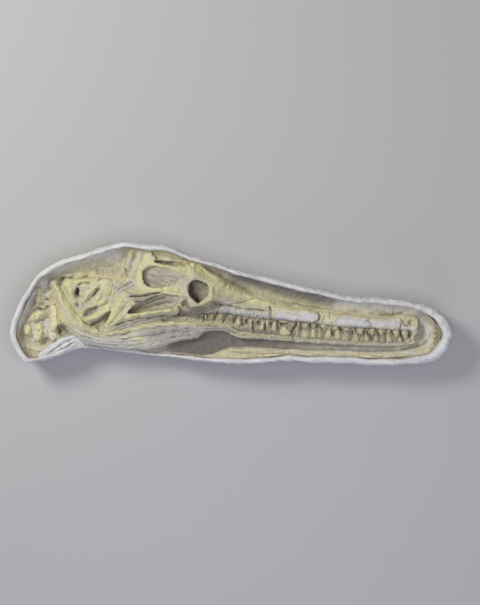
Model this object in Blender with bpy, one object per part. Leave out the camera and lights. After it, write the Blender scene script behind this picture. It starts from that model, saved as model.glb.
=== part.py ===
"""A dyrosaur skull, cleaned on one side, lying in its plaster field jacket.

The jacket lies on its back with the skull's right side up. +X runs to the tip of the snout,
+Y to the top of the skull and +Z up. The origin is on the floor under the middle. Sizes and
places are in millimetres and are turned to metres where a mesh is made.
"""

import math

import bmesh
import bpy
import numpy as np

MM = 0.001
GAP = 0.3  # kept between neighbours that touch

# Levels above the floor on which the jacket lies
PLASTER_FLOOR = 24.0
MATRIX_Z = 62.0  # the rock surface on which the bones lie
BONE_BASE = MATRIX_Z + GAP

# Rims and banks, read along X for the upper (+Y) and the lower (-Y) side of the jacket
RIM_WIDTH_UPPER = [(-550, 15), (-500, 13), (-300, 12), (-95, 8), (20, 10), (440, 12), (520, 26), (552, 30)]
RIM_WIDTH_LOWER = [(-550, 15), (-440, 13), (-360, 9), (-180, 9), (20, 13), (420, 18), (520, 26), (552, 30)]
RIM_RISE_UPPER = [(-550, 38), (-300, 42), (-95, 44), (100, 34), (552, 32)]
RIM_RISE_LOWER = [(-550, 38), (-420, 30), (-375, 0), (-170, 0), (-110, 22), (100, 30), (552, 32)]
BANK_WIDTH_UPPER = [
    (-550, 4), (-480, 4), (-440, 12), (-400, 36), (-300, 34), (-250, 4), (-130, 4), (-110, 2),
    (-85, 2), (-60, 4), (30, 28), (400, 20), (470, 15), (552, 26),
]
BANK_WIDTH_LOWER = [(-550, 4), (-375, 2), (-150, 2), (-60, 12), (60, 26), (440, 20), (552, 26)]
BANK_RISE_UPPER = [
    (-550, 9), (-480, 9), (-440, 14), (-400, 15), (-350, 25), (-300, 28), (-250, 24), (-60, 22),
    (0, 16), (420, 16), (552, 18),
]
BANK_RISE_LOWER = [(-550, 9), (-440, 9), (-395, 0), (-150, 0), (-60, 11), (60, 15), (552, 18)]

# What is left of the rise half-way down a bank and at its lip. The upper bank is hollow, except
# for the steep strip beside the roof of the skull, and the lower one is a terrace with a step.
HALF_WAY_UPPER = [(-300, 0.5), (-250, 0.8), (-60, 0.8), (0, 0.5)]
HALF_WAY_LOWER = [(-550, 0.8), (552, 0.85)]
AT_LIP_UPPER = [(-300, 0.15), (-250, 0.6), (-60, 0.6), (0, 0.15)]
AT_LIP_LOWER = [(-550, 0.5), (552, 0.65)]
LIP_PLACE = 0.85  # as a share of the bank's width, from the wall

# The jacket's edge, anticlockwise from the rear end along the lower side and back along the top
JACKET_EDGE = [
    (-551, -88), (-545, -108), (-528, -134), (-510, -149), (-478, -145), (-440, -134),
    (-410, -122), (-380, -114), (-352, -113), (-315, -121), (-272, -126), (-202, -135),
    (-128, -141), (-65, -149), (22, -153), (85, -150), (148, -145), (198, -149),
    (272, -151), (348, -156), (422, -155), (485, -151), (520, -138), (542, -110),
    (552, -78), (545, -52), (522, -25), (490, -8), (448, 1), (372, 11),
    (298, 15), (248, 26), (172, 42), (98, 61), (22, 80), (-52, 103),
    (-103, 118), (-152, 139), (-215, 146), (-268, 150), (-320, 138), (-368, 122),
    (-425, 105), (-469, 80), (-492, 55), (-509, 30), (-525, 5), (-535, -20),
    (-546, -45), (-550, -70),
]
JACKET_SPINE = [(-440, -40), (470, -78)]  # the rims and the foot are set in towards this line
EDGE_STATIONS = 120
FOOT_SHARE = 0.34  # how far the flat foot is set in, as a share of the way to the spine
BILGE_SHARE = 0.14
BILGE_Z = 6.0
BELLY_SET = 4.0
BELLY_Z = 19.0
SHOULDER_DROP = 14.0  # from the rim's crest to the widest place

# The cranium: its margin from the jaw joint up the back and along the top, and its lower margin
CRANIUM_TOP = [
    (-320, -60), (-308, -25), (-296, 5), (-285, 38), (-275, 70), (-265, 106), (-250, 128),
    (-202, 126), (-165, 122), (-128, 112), (-95, 104), (-70, 84), (-45, 65), (-20, 48), (3, 34),
]
CRANIUM_LOW = [
    (-318, -71), (-298, -69), (-272, -64), (-242, -56), (-208, -47), (-172, -40), (-138, -29),
    (-120, -26), (-98, -35), (-80, -34), (-60, -29), (-30, -28), (3, -31),
]
CRANIUM_CREST = [(0.0, 30), (0.3, 36), (0.55, 42), (0.75, 40), (1.0, 27)]

# The openings through the cranium, each an outline
ORBIT = [(-107, 30), (-102, 48), (-84, 57), (-64, 50), (-57, 30), (-64, 12), (-84, 0), (-100, 12)]
UPPER_FENESTRA = [
    (-225, 60), (-220, 78), (-205, 87), (-182, 89), (-158, 85), (-136, 76), (-122, 66),
    (-129, 52), (-148, 41), (-178, 38), (-205, 39), (-219, 46),
]
FAR_FENESTRA = [
    (-190, 106), (-170, 106), (-142, 103), (-119, 99), (-119, 91), (-135, 90), (-158, 93), (-185, 99),
]
CHEEK_FENESTRA = [
    (-260, -24), (-242, -4), (-215, 10), (-190, 21), (-168, 27), (-148, 22), (-132, 18),
    (-138, 2), (-145, -12), (-178, -18), (-215, -22), (-245, -28),
]
ORBIT_FORAMEN = [(-121, 6), (-113, 10), (-104, -2), (-109, -13), (-118, -9)]

# Rock left standing in the openings: outline, and the height of its top at the rear and the front.
# The orbit is cleaned down to the rock bed.
OPENING_FLOORS = [
    (UPPER_FENESTRA, 84, 97), (FAR_FENESTRA, 82, 91), (CHEEK_FENESTRA, 77, 90), (ORBIT_FORAMEN, 83, 87),
]
FLOOR_SHARE = 0.9  # of the opening's width

# Straight seams that part the cranium, each from one point to another
SEAM_ORBIT = ((-110, 110), (-131, -33))  # from table and cheek (right) to orbit (left)
SEAM_TEMPLE = ((-302, -10), (-102, 4))  # from the cheek (right) to the table (left)
SEAM_QUADRATE = ((-268, 5), (-282, -75))  # from the quadrate (right) to the cheek (left)

# The snout, from the face to the premaxilla
SNOUT_TOP = [
    (-20, 48), (3, 34), (35, 20), (68, 9), (98, 1), (135, -5), (172, -10), (218, -18),
    (260, -25), (310, -31), (360, -36), (424, -37),
]
SNOUT_LOW = [
    (-20, -29), (3, -31), (35, -36), (68, -40), (98, -42), (135, -48), (172, -51), (218, -58),
    (260, -62), (310, -66), (360, -69), (424, -72),
]
SNOUT_CREST = [(0.0, 27), (0.3, 25), (0.7, 22), (1.0, 22)]
PREMAXILLA_TOP = [(411, -37), (430, -36), (446, -36), (460, -41), (470, -55), (470, -76), (459, -96)]
PREMAXILLA_LOW = [(411, -71), (426, -72), (440, -71), (449, -73), (454, -78), (454, -84), (449, -92)]
PREMAXILLA_CREST = [(0.0, 22), (1.0, 15)]
NARIS = (446, -50)
NARIS_Z = BONE_BASE + 24.0
NARIS_RADII = (15, 9, 12)

# The lower jaw
JAW_TOP = [
    (-365, -52), (-342, -64), (-320, -78), (-298, -75), (-272, -70), (-242, -62), (-208, -54),
    (-172, -48), (-138, -47), (-102, -47), (-50, -48), (-12, -53), (10, -65), (35, -72),
    (98, -79), (158, -84), (222, -91), (298, -96), (372, -99), (422, -99), (446, -98),
]
JAW_LOW = [
    (-365, -106), (-348, -109), (-315, -115), (-278, -119), (-240, -120), (-202, -118),
    (-172, -110), (-145, -101), (-112, -94), (-85, -88), (-62, -75), (-12, -74), (8, -88),
    (48, -91), (98, -95), (158, -99), (222, -104), (298, -108), (372, -110), (422, -111), (446, -108),
]
JAW_CREST = [(0.0, 34), (0.15, 34), (0.3, 28), (0.42, 20), (0.6, 17), (1.0, 15)]
JAW_RIBS = [(0.0, 1), (0.08, 3.5), (0.32, 3.5), (0.42, 0), (1.0, 0)]
RIB_START = 0.08  # the first rib, as a share of the way across, and the space between two
RIB_SPACING = 0.28
PROCESS_LEFT = [
    (-450, 50), (-445, 25), (-440, -2), (-435, -28), (-425, -48), (-405, -66), (-390, -86), (-365, -106),
]
PROCESS_RIGHT = [
    (-432, 50), (-418, 28), (-402, 0), (-390, -25), (-380, -41), (-372, -48), (-365, -52),
]
PROCESS_CREST = [(0.0, 20), (0.2, 28), (0.6, 31), (1.0, 34)]

# The braincase and back of the skull, broken into knobs
BRAINCASE_TOP = [(-418, 52), (-398, 62), (-365, 65), (-332, 68), (-304, 64), (-288, 54)]
BRAINCASE_LOW = [(-412, 35), (-398, 10), (-378, -22), (-358, -38), (-338, -28), (-318, -8), (-303, 20)]
BRAINCASE_CREST = [(0.0, 14), (0.3, 26), (0.8, 28), (1.0, 20)]
BRAINCASE_KNOB = 5.0

# Rock left standing beside a bone: margin, side (1 on its left), rise beside the bone, width
STANDING_ROCK = [
    ([(-450, 46), (-446, 25), (-442, 8)], -1, 13, 24),
    (BRAINCASE_TOP, 1, 12, 20),
]
STANDING_CLEARANCE = 1.5

# Bones of the neck behind the skull: name, left margin, right margin, height
NECK_BONES = [
    ("neck_rib", [(-486, 36), (-487, 19), (-488, 2)], [(-477, 36), (-477, 19), (-476, 2)], 9),
    ("neck_arch", [(-505, -26), (-488, -18), (-466, -20)], [(-505, -40), (-488, -42), (-466, -35)], 13),
    ("neck_plate", [(-452, -2), (-451, -32), (-452, -70)], [(-444, -2), (-441, -32), (-436, -66)], 12),
    (
        "neck_block_top", [(-520, -52), (-521, -68), (-518, -84)],
        [(-505, -52), (-503, -68), (-505, -84)], 12,
    ),
    (
        "neck_block_low", [(-494, -50), (-495, -75), (-490, -100)],
        [(-476, -50), (-474, -75), (-472, -100)], 11,
    ),
]

# Teeth: one row in each jaw, which stand in each other's gaps
TOOTH_PITCH = 27.5
FIRST_UPPER_TOOTH = -70.0
TEETH_IN_ROW = 19
TOOTH_LENGTH = 27.0
TOOTH_CLEARANCE = 2.0  # from a tip to the margin of the other jaw
TOOTH_ROOT = 9.0
TOOTH_RADIUS = 6.6
TOOTH_FLATTENING = 0.75
TOOTH_Z = BONE_BASE + 8.5
TOOTH_SIDES = 6
SEED = 7

# Seams across the snout and jaw lie midway between two teeth of their own row
SEAM_FACE = FIRST_UPPER_TOOTH + 2.5 * TOOTH_PITCH
SEAM_SNOUT_REAR = FIRST_UPPER_TOOTH + 6.5 * TOOTH_PITCH
SEAM_SNOUT_MIDDLE = FIRST_UPPER_TOOTH + 10.5 * TOOTH_PITCH
SEAM_PREMAXILLA = FIRST_UPPER_TOOTH + 17.5 * TOOTH_PITCH
SEAM_JAW_REAR = FIRST_UPPER_TOOTH
SEAM_DENTARY = FIRST_UPPER_TOOTH + 8.0 * TOOTH_PITCH


def curve(points, count, closed=False):
    """A Catmull-Rom curve through the points, at `count` stations evenly spaced along it."""
    p = np.array(points, float)
    if closed:
        p = np.vstack([p[-1], p, p[0], p[1]])
    else:
        p = np.vstack([2 * p[0] - p[1], p, 2 * p[-1] - p[-2]])
    u = np.linspace(0, 1, 24, endpoint=False)[:, None]
    spans = []
    for a, b, c, d in zip(p[:-3], p[1:-2], p[2:-1], p[3:]):
        bend = (2 * a - 5 * b + 4 * c - d) * u**2 + (3 * b - a - 3 * c + d) * u**3
        spans.append(0.5 * (2 * b + (c - a) * u + bend))
    fine = np.vstack([*spans, p[-2]])
    length = np.concatenate([[0], np.cumsum(np.linalg.norm(np.diff(fine, axis=0), axis=1))])
    stations = np.linspace(0, length[-1], count, endpoint=not closed)
    return np.stack([np.interp(stations, length, fine[:, k]) for k in range(2)], axis=1)


def along(pairs, where):
    """Reads a value from pairs of (place, value), straight between the places."""
    places, values = zip(*pairs)
    return np.interp(where, places, values)


def material(name, colour, roughness):
    """A Principled material with one colour."""
    made = bpy.data.materials.new(name)
    made.use_nodes = True
    shader = made.node_tree.nodes["Principled BSDF"]
    shader.inputs["Base Color"].default_value = (*colour, 1)
    shader.inputs["Roughness"].default_value = roughness
    shader.inputs["Metallic"].default_value = 0.0
    return made


def mesh_object(name, vertices, faces, look):
    """A smooth-shaded mesh object from points in millimetres."""
    mesh = bpy.data.meshes.new(name)
    mesh.from_pydata((np.asarray(vertices) * MM).tolist(), [], faces)
    mesh.shade_smooth()
    mesh.set_sharp_from_angle(angle=math.radians(40))
    mesh.materials.append(look)
    made = bpy.data.objects.new(name, mesh)
    bpy.context.collection.objects.link(made)
    return made


def stacked_rings(name, rings, look):
    """A closed body from rings of equal count, each joined to the next, with a flat cap at both ends."""
    count = len(rings[0])
    faces = [list(range(count))[::-1]]
    for level in range(len(rings) - 1):
        low, high = level * count, (level + 1) * count
        for i in range(count):
            j = (i + 1) % count
            faces.append((low + i, low + j, high + j, high + i))
    last = (len(rings) - 1) * count
    faces.append(list(range(last, last + count)))
    return mesh_object(name, np.vstack(rings), faces, look)


def bone(name, edge_a, edge_b, crest, look, stations, across=8, ends=(False, False), knobs=0.0, ribs=None):
    """A closed bone between two margins: an arched top over a flat underside.

    The margins are curves of `stations` points. A point of the top lies between them, and its
    height is the crest's times the sine of half a turn across the bone, so that each section is
    half an ellipse on a low upright edge. A free end is rounded off over its last stations.
    Ribs run lengthwise: a cosine across the bone, as high as their table says along it.
    """
    a, b = curve(edge_a, stations), curve(edge_b, stations)
    s = np.linspace(0, 1, stations)[:, None]
    turn = np.linspace(0, math.pi, across + 1)[None, :]
    t = (1 - np.cos(turn)) / 2
    ease = np.ones_like(s)
    for free, place in zip(ends, (s, 1 - s)):
        if free:
            ease = ease * np.sqrt(np.clip(1 - (1 - np.clip(place / 0.16, 0, 1)) ** 2, 0.05, 1))
    middle = (a + b) / 2
    a, b = middle + (a - middle) * np.sqrt(ease), middle + (b - middle) * np.sqrt(ease)
    plan = a[:, None, :] * (1 - t[..., None]) + b[:, None, :] * t[..., None]
    edge = 3.0
    height = along(crest, s) * ease
    z = BONE_BASE + edge + (height - edge) * np.sin(turn) ** 0.8
    z = z + knobs * np.sin(turn) * np.sin(plan[..., 0] / 7.3) * np.sin(plan[..., 1] / 8.1)
    if ribs:
        z = z + along(ribs, s) * np.sin(turn) * np.cos(2 * math.pi * (t - RIB_START) / RIB_SPACING)
    top = np.concatenate([plan, z[..., None]], axis=2).reshape(-1, 3)
    rim = [row * (across + 1) for row in range(stations)]
    rim += [(stations - 1) * (across + 1) + k for k in range(1, across + 1)]
    rim += [row * (across + 1) + across for row in range(stations - 2, -1, -1)]
    rim += list(range(across - 1, 0, -1))
    below = top[rim].copy()
    below[:, 2] = BONE_BASE
    first = len(top)
    faces = [list(range(first, first + len(rim)))[::-1]]
    for i, v in enumerate(rim):
        j = (i + 1) % len(rim)
        faces.append((v, first + i, first + j, rim[j]))
    for row in range(stations - 1):
        for k in range(across):
            v = row * (across + 1) + k
            faces.append((v, v + across + 1, v + across + 2, v + 1))
    made = mesh_object(name, np.vstack([top, below]), faces, look)
    facing(made)
    return made


def facing(made):
    """Turns a closed mesh's faces to point outwards."""
    work = bmesh.new()
    work.from_mesh(made.data)
    bmesh.ops.recalc_face_normals(work, faces=work.faces)
    work.to_mesh(made.data)
    work.free()


def upright_cutter(name, outline, count=24):
    """A prism through the whole bone with this outline, its mouth a little wider than its foot."""
    ring = curve(outline, count, closed=True)
    centre = ring.mean(axis=0)
    rings = []
    for z, share in ((BONE_BASE - 10, 0.96), (BONE_BASE + 80, 1.06)):
        plan = centre + (ring - centre) * share
        rings.append(np.column_stack([plan, np.full(count, z)]))
    made = stacked_rings(name, rings, None)
    facing(made)
    return made


def ellipsoid(name, centre, radii):
    """A squashed ball, as a cutter for a shallow pit."""
    work = bmesh.new()
    bmesh.ops.create_uvsphere(work, u_segments=14, v_segments=8, radius=1)
    for v in work.verts:
        v.co = [(c + r * x) * MM for c, r, x in zip(centre, radii, v.co)]
    mesh = bpy.data.meshes.new(name)
    work.to_mesh(mesh)
    work.free()
    made = bpy.data.objects.new(name, mesh)
    bpy.context.collection.objects.link(made)
    return made


def boolean(made, others, operation):
    """Joins or cuts with every other object at once, applies it and removes the others."""
    group = bpy.data.collections.new("pieces")
    for other in others:
        group.objects.link(other)
    step = made.modifiers.new(operation, "BOOLEAN")
    step.operation = operation
    step.operand_type = "COLLECTION"
    step.collection = group
    step.solver = "EXACT"
    bpy.context.view_layer.update()
    graph = bpy.context.evaluated_depsgraph_get()
    result = bpy.data.meshes.new_from_object(made.evaluated_get(graph))
    made.modifiers.clear()
    made.data = result
    for other in others:
        bpy.data.objects.remove(other)
    bpy.data.collections.remove(group)


def half(source, name, seams):
    """A copy of the source trimmed at upright seams. The part on the right of each seam is dropped.

    Each seam is (from, to): going along it, the left side is kept, half a gap away from it.
    """
    work = bmesh.new()
    work.from_mesh(source.data)
    for (x0, y0), (x1, y1) in seams:
        length = math.hypot(x1 - x0, y1 - y0)
        normal = ((y1 - y0) / length, -(x1 - x0) / length, 0)
        point = (x0 - normal[0] * GAP / 2, y0 - normal[1] * GAP / 2, 0)
        bmesh.ops.bisect_plane(
            work, geom=[*work.verts, *work.edges, *work.faces],
            plane_co=[c * MM for c in point], plane_no=normal, clear_outer=True,
        )
        bmesh.ops.holes_fill(work, edges=[e for e in work.edges if e.is_boundary])
    bmesh.ops.recalc_face_normals(work, faces=work.faces)
    bmesh.ops.triangulate(work, faces=work.faces)
    mesh = bpy.data.meshes.new(name)
    work.to_mesh(mesh)
    work.free()
    mesh.materials.clear()
    mesh.materials.append(source.data.materials[0])
    made = bpy.data.objects.new(name, mesh)
    bpy.context.collection.objects.link(made)
    return made


def turned(seam):
    """The same seam with its other side kept."""
    return (seam[1], seam[0])


def across_at(x):
    """An upright seam across the jaws at this X, with the rear (-X) side kept."""
    return ((x, -200), (x, 200))


def tooth(name, x, y, direction, length, lean):
    """A conical tooth from a root sunk in the jaw to a blunt tip, lying level."""
    rings = []
    turn = np.linspace(0, 2 * math.pi, TOOTH_SIDES, endpoint=False) + 0.3
    for share, width in ((-TOOTH_ROOT / length, 0.85), (0.0, 1.0), (0.6, 0.6), (1.0, 0.16)):
        out = share * length
        radius = TOOTH_RADIUS * width
        ring = np.column_stack([
            x + lean * out + radius * np.cos(turn),
            np.full(TOOTH_SIDES, y + direction * out),
            TOOTH_Z + radius * TOOTH_FLATTENING * np.sin(turn),
        ])
        rings.append(ring)
    made = stacked_rings(name, rings, None)
    facing(made)
    return made


def edge_y(edge, x):
    """The Y of a margin at this X."""
    places = curve(edge, 200)
    return float(np.interp(x, places[:, 0], places[:, 1]))


def tooth_rows():
    """The row, place, longest length and lean of every tooth."""
    draw = np.random.default_rng(SEED)
    made = []
    for row, shift, count in (("upper", 0.0, TEETH_IN_ROW - 1), ("lower", 0.5, TEETH_IN_ROW)):
        for i in range(count):
            x = FIRST_UPPER_TOOTH + (i + shift) * TOOTH_PITCH + draw.uniform(-1.0, 1.0)
            made.append((row, x, TOOTH_LENGTH * draw.uniform(0.8, 1.0), draw.uniform(-0.06, 0.12)))
    return made


def teeth_for(row, low, high):
    """The teeth of one row whose places lie between two X, each short of the other jaw."""
    margins = {"upper": CRANIUM_LOW[:-1] + SNOUT_LOW[1:], "lower": JAW_TOP}
    other, direction = {"upper": ("lower", -1), "lower": ("upper", 1)}[row]
    found = []
    for i, (its_row, x, length, lean) in enumerate(tooth_rows()):
        if its_row == row and low < x < high:
            y = edge_y(margins[row], x)
            room = abs(edge_y(margins[other], x) - y) - TOOTH_CLEARANCE
            found.append(tooth(f"tooth_{i}", x, y, direction, min(length, room), lean))
    return found


def jacket_rings():
    """The jacket's edge and, at each of its stations, the rim's and the bank's sizes."""
    edge = curve(JACKET_EDGE, EDGE_STATIONS, closed=True)
    start, end = (np.array(p, float) for p in JACKET_SPINE)
    share = np.clip((edge - start) @ (end - start) / ((end - start) @ (end - start)), 0, 1)
    spine = start + share[:, None] * (end - start)
    upper = edge[:, 1] > spine[:, 1]

    def sized(above, below):
        return np.where(upper, along(above, edge[:, 0]), along(below, edge[:, 0]))

    sizes = {
        "rim": sized(RIM_WIDTH_UPPER, RIM_WIDTH_LOWER),
        "rise": sized(RIM_RISE_UPPER, RIM_RISE_LOWER),
        "bank": sized(BANK_WIDTH_UPPER, BANK_WIDTH_LOWER),
        "bank_rise": sized(BANK_RISE_UPPER, BANK_RISE_LOWER),
        "half_way": sized(HALF_WAY_UPPER, HALF_WAY_LOWER),
        "at_lip": sized(AT_LIP_UPPER, AT_LIP_LOWER),
    }
    inward = (spine - edge) / np.linalg.norm(spine - edge, axis=1)[:, None]
    return edge, spine, inward, sizes


def ring_at(plan, z):
    """A ring of 3-D points from a plan and its height, one number or one for each point."""
    return np.column_stack([plan, np.broadcast_to(np.asarray(z, float), len(plan))])


def build_jacket(look):
    """The plaster shell: foot, belly, rounded rim, inner wall and inner floor."""
    edge, spine, inward, sizes = jacket_rings()
    crest = MATRIX_Z + sizes["rise"]
    rim = sizes["rim"][:, None]
    shoulder = crest - SHOULDER_DROP
    inner = edge + inward * rim
    rings = [
        ring_at(edge + (spine - edge) * FOOT_SHARE, 0),
        ring_at(edge + (spine - edge) * BILGE_SHARE, BILGE_Z),
        ring_at(edge + inward * BELLY_SET, BELLY_Z),
        ring_at(edge, shoulder),
        ring_at(edge + inward * rim * 0.12, shoulder * 0.35 + crest * 0.65),
        ring_at(edge + inward * rim * 0.45, crest),
        ring_at(inner, crest - 1.5),
        ring_at(inner, PLASTER_FLOOR),
    ]
    return stacked_rings("plaster_jacket", rings, look)


def opening_floor(name, outline, rear, front):
    """Rock that stands in an opening of the cranium, clear of its walls, with a sloping top."""
    ring = curve(outline, 24, closed=True)
    centre = ring.mean(axis=0)
    plan = centre + (ring - centre) * FLOOR_SHARE
    place = (plan[:, 0] - plan[:, 0].min()) / np.ptp(plan[:, 0])
    rings = [ring_at(plan, MATRIX_Z - 4), ring_at(plan, rear + (front - rear) * place)]
    made = stacked_rings(name, rings, None)
    facing(made)
    return made


def standing_rock(name, margin, side, rise, width):
    """Rock that stands beside a bone: highest next to it, hollow, and low at both ends."""
    stations = 10
    line = curve(margin, stations)
    run = np.gradient(line, axis=0)
    out = side * np.column_stack([-run[:, 1], run[:, 0]]) / np.linalg.norm(run, axis=1)[:, None]
    swell = rise * np.sin(np.linspace(0.2, 0.8, stations) * math.pi)
    sections = []
    for place, away, height in zip(line, out, swell):
        corners = [
            (STANDING_CLEARANCE, -3.0), (STANDING_CLEARANCE, height),
            (0.4 * width, 0.45 * height), (width, -3.0),
        ]
        sections.append(np.array([[*(place + away * reach), MATRIX_Z + up] for reach, up in corners]))
    made = stacked_rings(name, sections, None)
    facing(made)
    return made


def build_matrix(look):
    """The rock that fills the jacket: flat under the bones, with a bank along the wall.

    Rock also stands in the openings of the cranium and beside some of the bones.
    """
    edge, _, inward, sizes = jacket_rings()
    wall = edge + inward * (sizes["rim"] + GAP)[:, None]
    bank = sizes["bank"][:, None]
    rise = sizes["bank_rise"]
    rings = [
        ring_at(wall, PLASTER_FLOOR + GAP),
        ring_at(wall, MATRIX_Z + rise),
        ring_at(wall + inward * bank * 0.5, MATRIX_Z + rise * sizes["half_way"]),
        ring_at(wall + inward * bank * LIP_PLACE, MATRIX_Z + rise * sizes["at_lip"]),
        ring_at(wall + inward * bank, MATRIX_Z),
    ]
    bed = stacked_rings("matrix_bed", rings, look)
    facing(bed)
    added = [opening_floor(f"floor_{i}", *row) for i, row in enumerate(OPENING_FLOORS)]
    added += [standing_rock(f"standing_{i}", *row) for i, row in enumerate(STANDING_ROCK)]
    boolean(bed, added, "UNION")


def build_cranium(look):
    """The cranium is modelled whole, its openings are cut, and straight seams part it."""
    whole = bone("cranium_whole", CRANIUM_TOP, CRANIUM_LOW, CRANIUM_CREST, look, 44, 14)
    openings = (ORBIT, UPPER_FENESTRA, FAR_FENESTRA, CHEEK_FENESTRA, ORBIT_FORAMEN)
    boolean(whole, [upright_cutter(f"cut_{i}", o) for i, o in enumerate(openings)], "DIFFERENCE")
    half(whole, "skull_table", [turned(SEAM_ORBIT), SEAM_TEMPLE])
    half(whole, "cheek_bar", [turned(SEAM_ORBIT), turned(SEAM_TEMPLE), SEAM_QUADRATE])
    half(whole, "quadrate", [turned(SEAM_TEMPLE), turned(SEAM_QUADRATE)])
    orbit = half(whole, "orbital_bones", [SEAM_ORBIT, across_at(SEAM_FACE)])
    boolean(orbit, teeth_for("upper", -90, SEAM_FACE), "UNION")
    bpy.data.objects.remove(whole)


def build_snout(look):
    """The maxilla in three lengths, parted at the breaks, and the premaxilla with the nostril."""
    whole = bone("snout_whole", SNOUT_TOP, SNOUT_LOW, SNOUT_CREST, look, 40)
    lengths = [
        ("maxilla_rear", SEAM_FACE, SEAM_SNOUT_REAR),
        ("maxilla_middle", SEAM_SNOUT_REAR, SEAM_SNOUT_MIDDLE),
        ("maxilla_front", SEAM_SNOUT_MIDDLE, SEAM_PREMAXILLA),
    ]
    for name, low, high in lengths:
        piece = half(whole, name, [across_at(high), turned(across_at(low))])
        boolean(piece, teeth_for("upper", low, high), "UNION")
    bpy.data.objects.remove(whole)
    tip = bone("tip_whole", PREMAXILLA_TOP, PREMAXILLA_LOW, PREMAXILLA_CREST, look, 18, ends=(False, True))
    pit = ellipsoid("naris", (*NARIS, NARIS_Z), NARIS_RADII)
    boolean(tip, [pit], "DIFFERENCE")
    half(tip, "premaxilla", [turned(across_at(SEAM_PREMAXILLA))])
    bpy.data.objects.remove(tip)


def build_jaw(look):
    """The lower jaw: its blade in three lengths and the long process behind the joint."""
    whole = bone("jaw_whole", JAW_TOP, JAW_LOW, JAW_CREST, look, 60, 18, (False, True), ribs=JAW_RIBS)
    start = JAW_TOP[0][0]
    lengths = [
        ("jaw_rear", start, SEAM_JAW_REAR),
        ("dentary_rear", SEAM_JAW_REAR, SEAM_DENTARY),
        ("dentary_front", SEAM_DENTARY, 500),
    ]
    for name, low, high in lengths:
        piece = half(whole, name, [across_at(high), turned(across_at(low))])
        teeth = teeth_for("lower", low, high)
        if teeth:
            boolean(piece, teeth, "UNION")
    bpy.data.objects.remove(whole)
    process = bone("process_whole", PROCESS_LEFT, PROCESS_RIGHT, PROCESS_CREST, look, 18, 7, (True, False))
    half(process, "jaw_process", [across_at(start)])
    bpy.data.objects.remove(process)


def build_rear(look):
    """The braincase and the bones of the neck."""
    crest = BRAINCASE_CREST
    bone("braincase", BRAINCASE_TOP, BRAINCASE_LOW, crest, look, 18, 12, (True, True), BRAINCASE_KNOB)
    for name, one, other, height in NECK_BONES:
        bone(name, one, other, [(0, height), (1, height)], look, 8, 5, ends=(True, True))


def main():
    for old in list(bpy.data.objects):
        bpy.data.objects.remove(old)
    plaster = material("plaster", (0.80, 0.79, 0.75), 0.9)
    rock = material("matrix", (0.36, 0.32, 0.25), 0.95)
    fossil = material("bone", (0.62, 0.57, 0.38), 0.75)
    build_jacket(plaster)
    build_matrix(rock)
    build_cranium(fossil)
    build_snout(fossil)
    build_jaw(fossil)
    build_rear(fossil)


main()
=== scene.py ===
# %% [markdown]
# A dyrosaur skull in its field jacket.
#
# A skull found in soft rock is lifted together with the rock round it, in a tray of cloth dipped
# in plaster. Later the rock is cut away from one side, and the skull stays in the tray for show.
# This lesson models that: a plaster tray, a bed of rock, and the bones that stand up out of it.
# The bones could be sculpted by hand, but here each is a relief worked out with numpy. One plan
# in millimetres lies over the whole tray, and every ridge and crack is drawn on it as a stroke,
# so that a feature can cross from one bone to the next as it does on the real thing.

# %% Load the fixed frame
import math

import bpy
import numpy as np
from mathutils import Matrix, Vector


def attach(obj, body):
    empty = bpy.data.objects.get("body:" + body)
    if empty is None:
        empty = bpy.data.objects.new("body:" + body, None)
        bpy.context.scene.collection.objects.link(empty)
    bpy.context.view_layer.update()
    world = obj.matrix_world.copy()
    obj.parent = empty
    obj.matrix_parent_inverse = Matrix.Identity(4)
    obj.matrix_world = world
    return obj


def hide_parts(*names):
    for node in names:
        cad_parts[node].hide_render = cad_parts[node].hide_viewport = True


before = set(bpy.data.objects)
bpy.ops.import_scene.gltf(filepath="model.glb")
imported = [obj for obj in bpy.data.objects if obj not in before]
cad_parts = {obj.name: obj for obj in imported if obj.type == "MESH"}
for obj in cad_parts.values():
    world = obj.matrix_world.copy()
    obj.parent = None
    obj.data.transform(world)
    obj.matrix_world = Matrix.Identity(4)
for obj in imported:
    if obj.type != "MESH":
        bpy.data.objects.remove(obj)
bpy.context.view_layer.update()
MM = 0.001
print("bones, rock and tray in the frame:", len(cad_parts))

# %% [markdown]
# Levels. The tray stands on the floor at height zero. The rock is level at 62 mm, and the bones
# start a hair above that, as they do in the frame.

# %% Levels and the plan
ROCK_LEVEL = 62.0
BONE_LEVEL = 62.3
PITCH = 0.8
PLAN_WEST, PLAN_EAST = -556.0, 556.0
PLAN_SOUTH, PLAN_NORTH = -160.0, 156.0
east = np.arange(PLAN_WEST, PLAN_EAST + PITCH / 2, PITCH)
north = np.arange(PLAN_SOUTH, PLAN_NORTH + PITCH / 2, PITCH)
X, Y = np.meshgrid(east, north)
print("places on the plan:", X.size)

# %% [markdown]
# Places were read off a photograph in pixels, u to the right and v down. The tray faces the
# camera squarely enough for one scale to do: a pixel is 2.5 mm. Widths, heights and depths are
# always given in millimetres.

# %% From the picture to the plan
MM_PER_PIXEL = 2.5
PIXEL_OVER_ORIGIN = (231.0, 303.0)


def on_plan(pixels):
    """Pixels (u, v) as plan places: x = (u - u0) * scale and y = (v0 - v) * scale."""
    p = np.atleast_2d(np.array(pixels, float))
    u0, v0 = PIXEL_OVER_ORIGIN
    return np.column_stack([p[:, 0] - u0, v0 - p[:, 1]]) * MM_PER_PIXEL


def catmull_rom(a, b, c, d, u):
    """The curve from b to c at share u, with a before and d after them: half of
    2b + (c - a)u + (2a - 5b + 4c - d)u^2 + (3b - a - 3c + d)u^3."""
    bend = (2 * a - 5 * b + 4 * c - d) * u**2 + (3 * b - a - 3 * c + d) * u**3
    return 0.5 * (2 * b + (c - a) * u + bend)


def travelled(points):
    """The length of a line from its start to each of its points."""
    return np.concatenate([[0], np.cumsum(np.linalg.norm(np.diff(points, axis=0), axis=1))])


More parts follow.
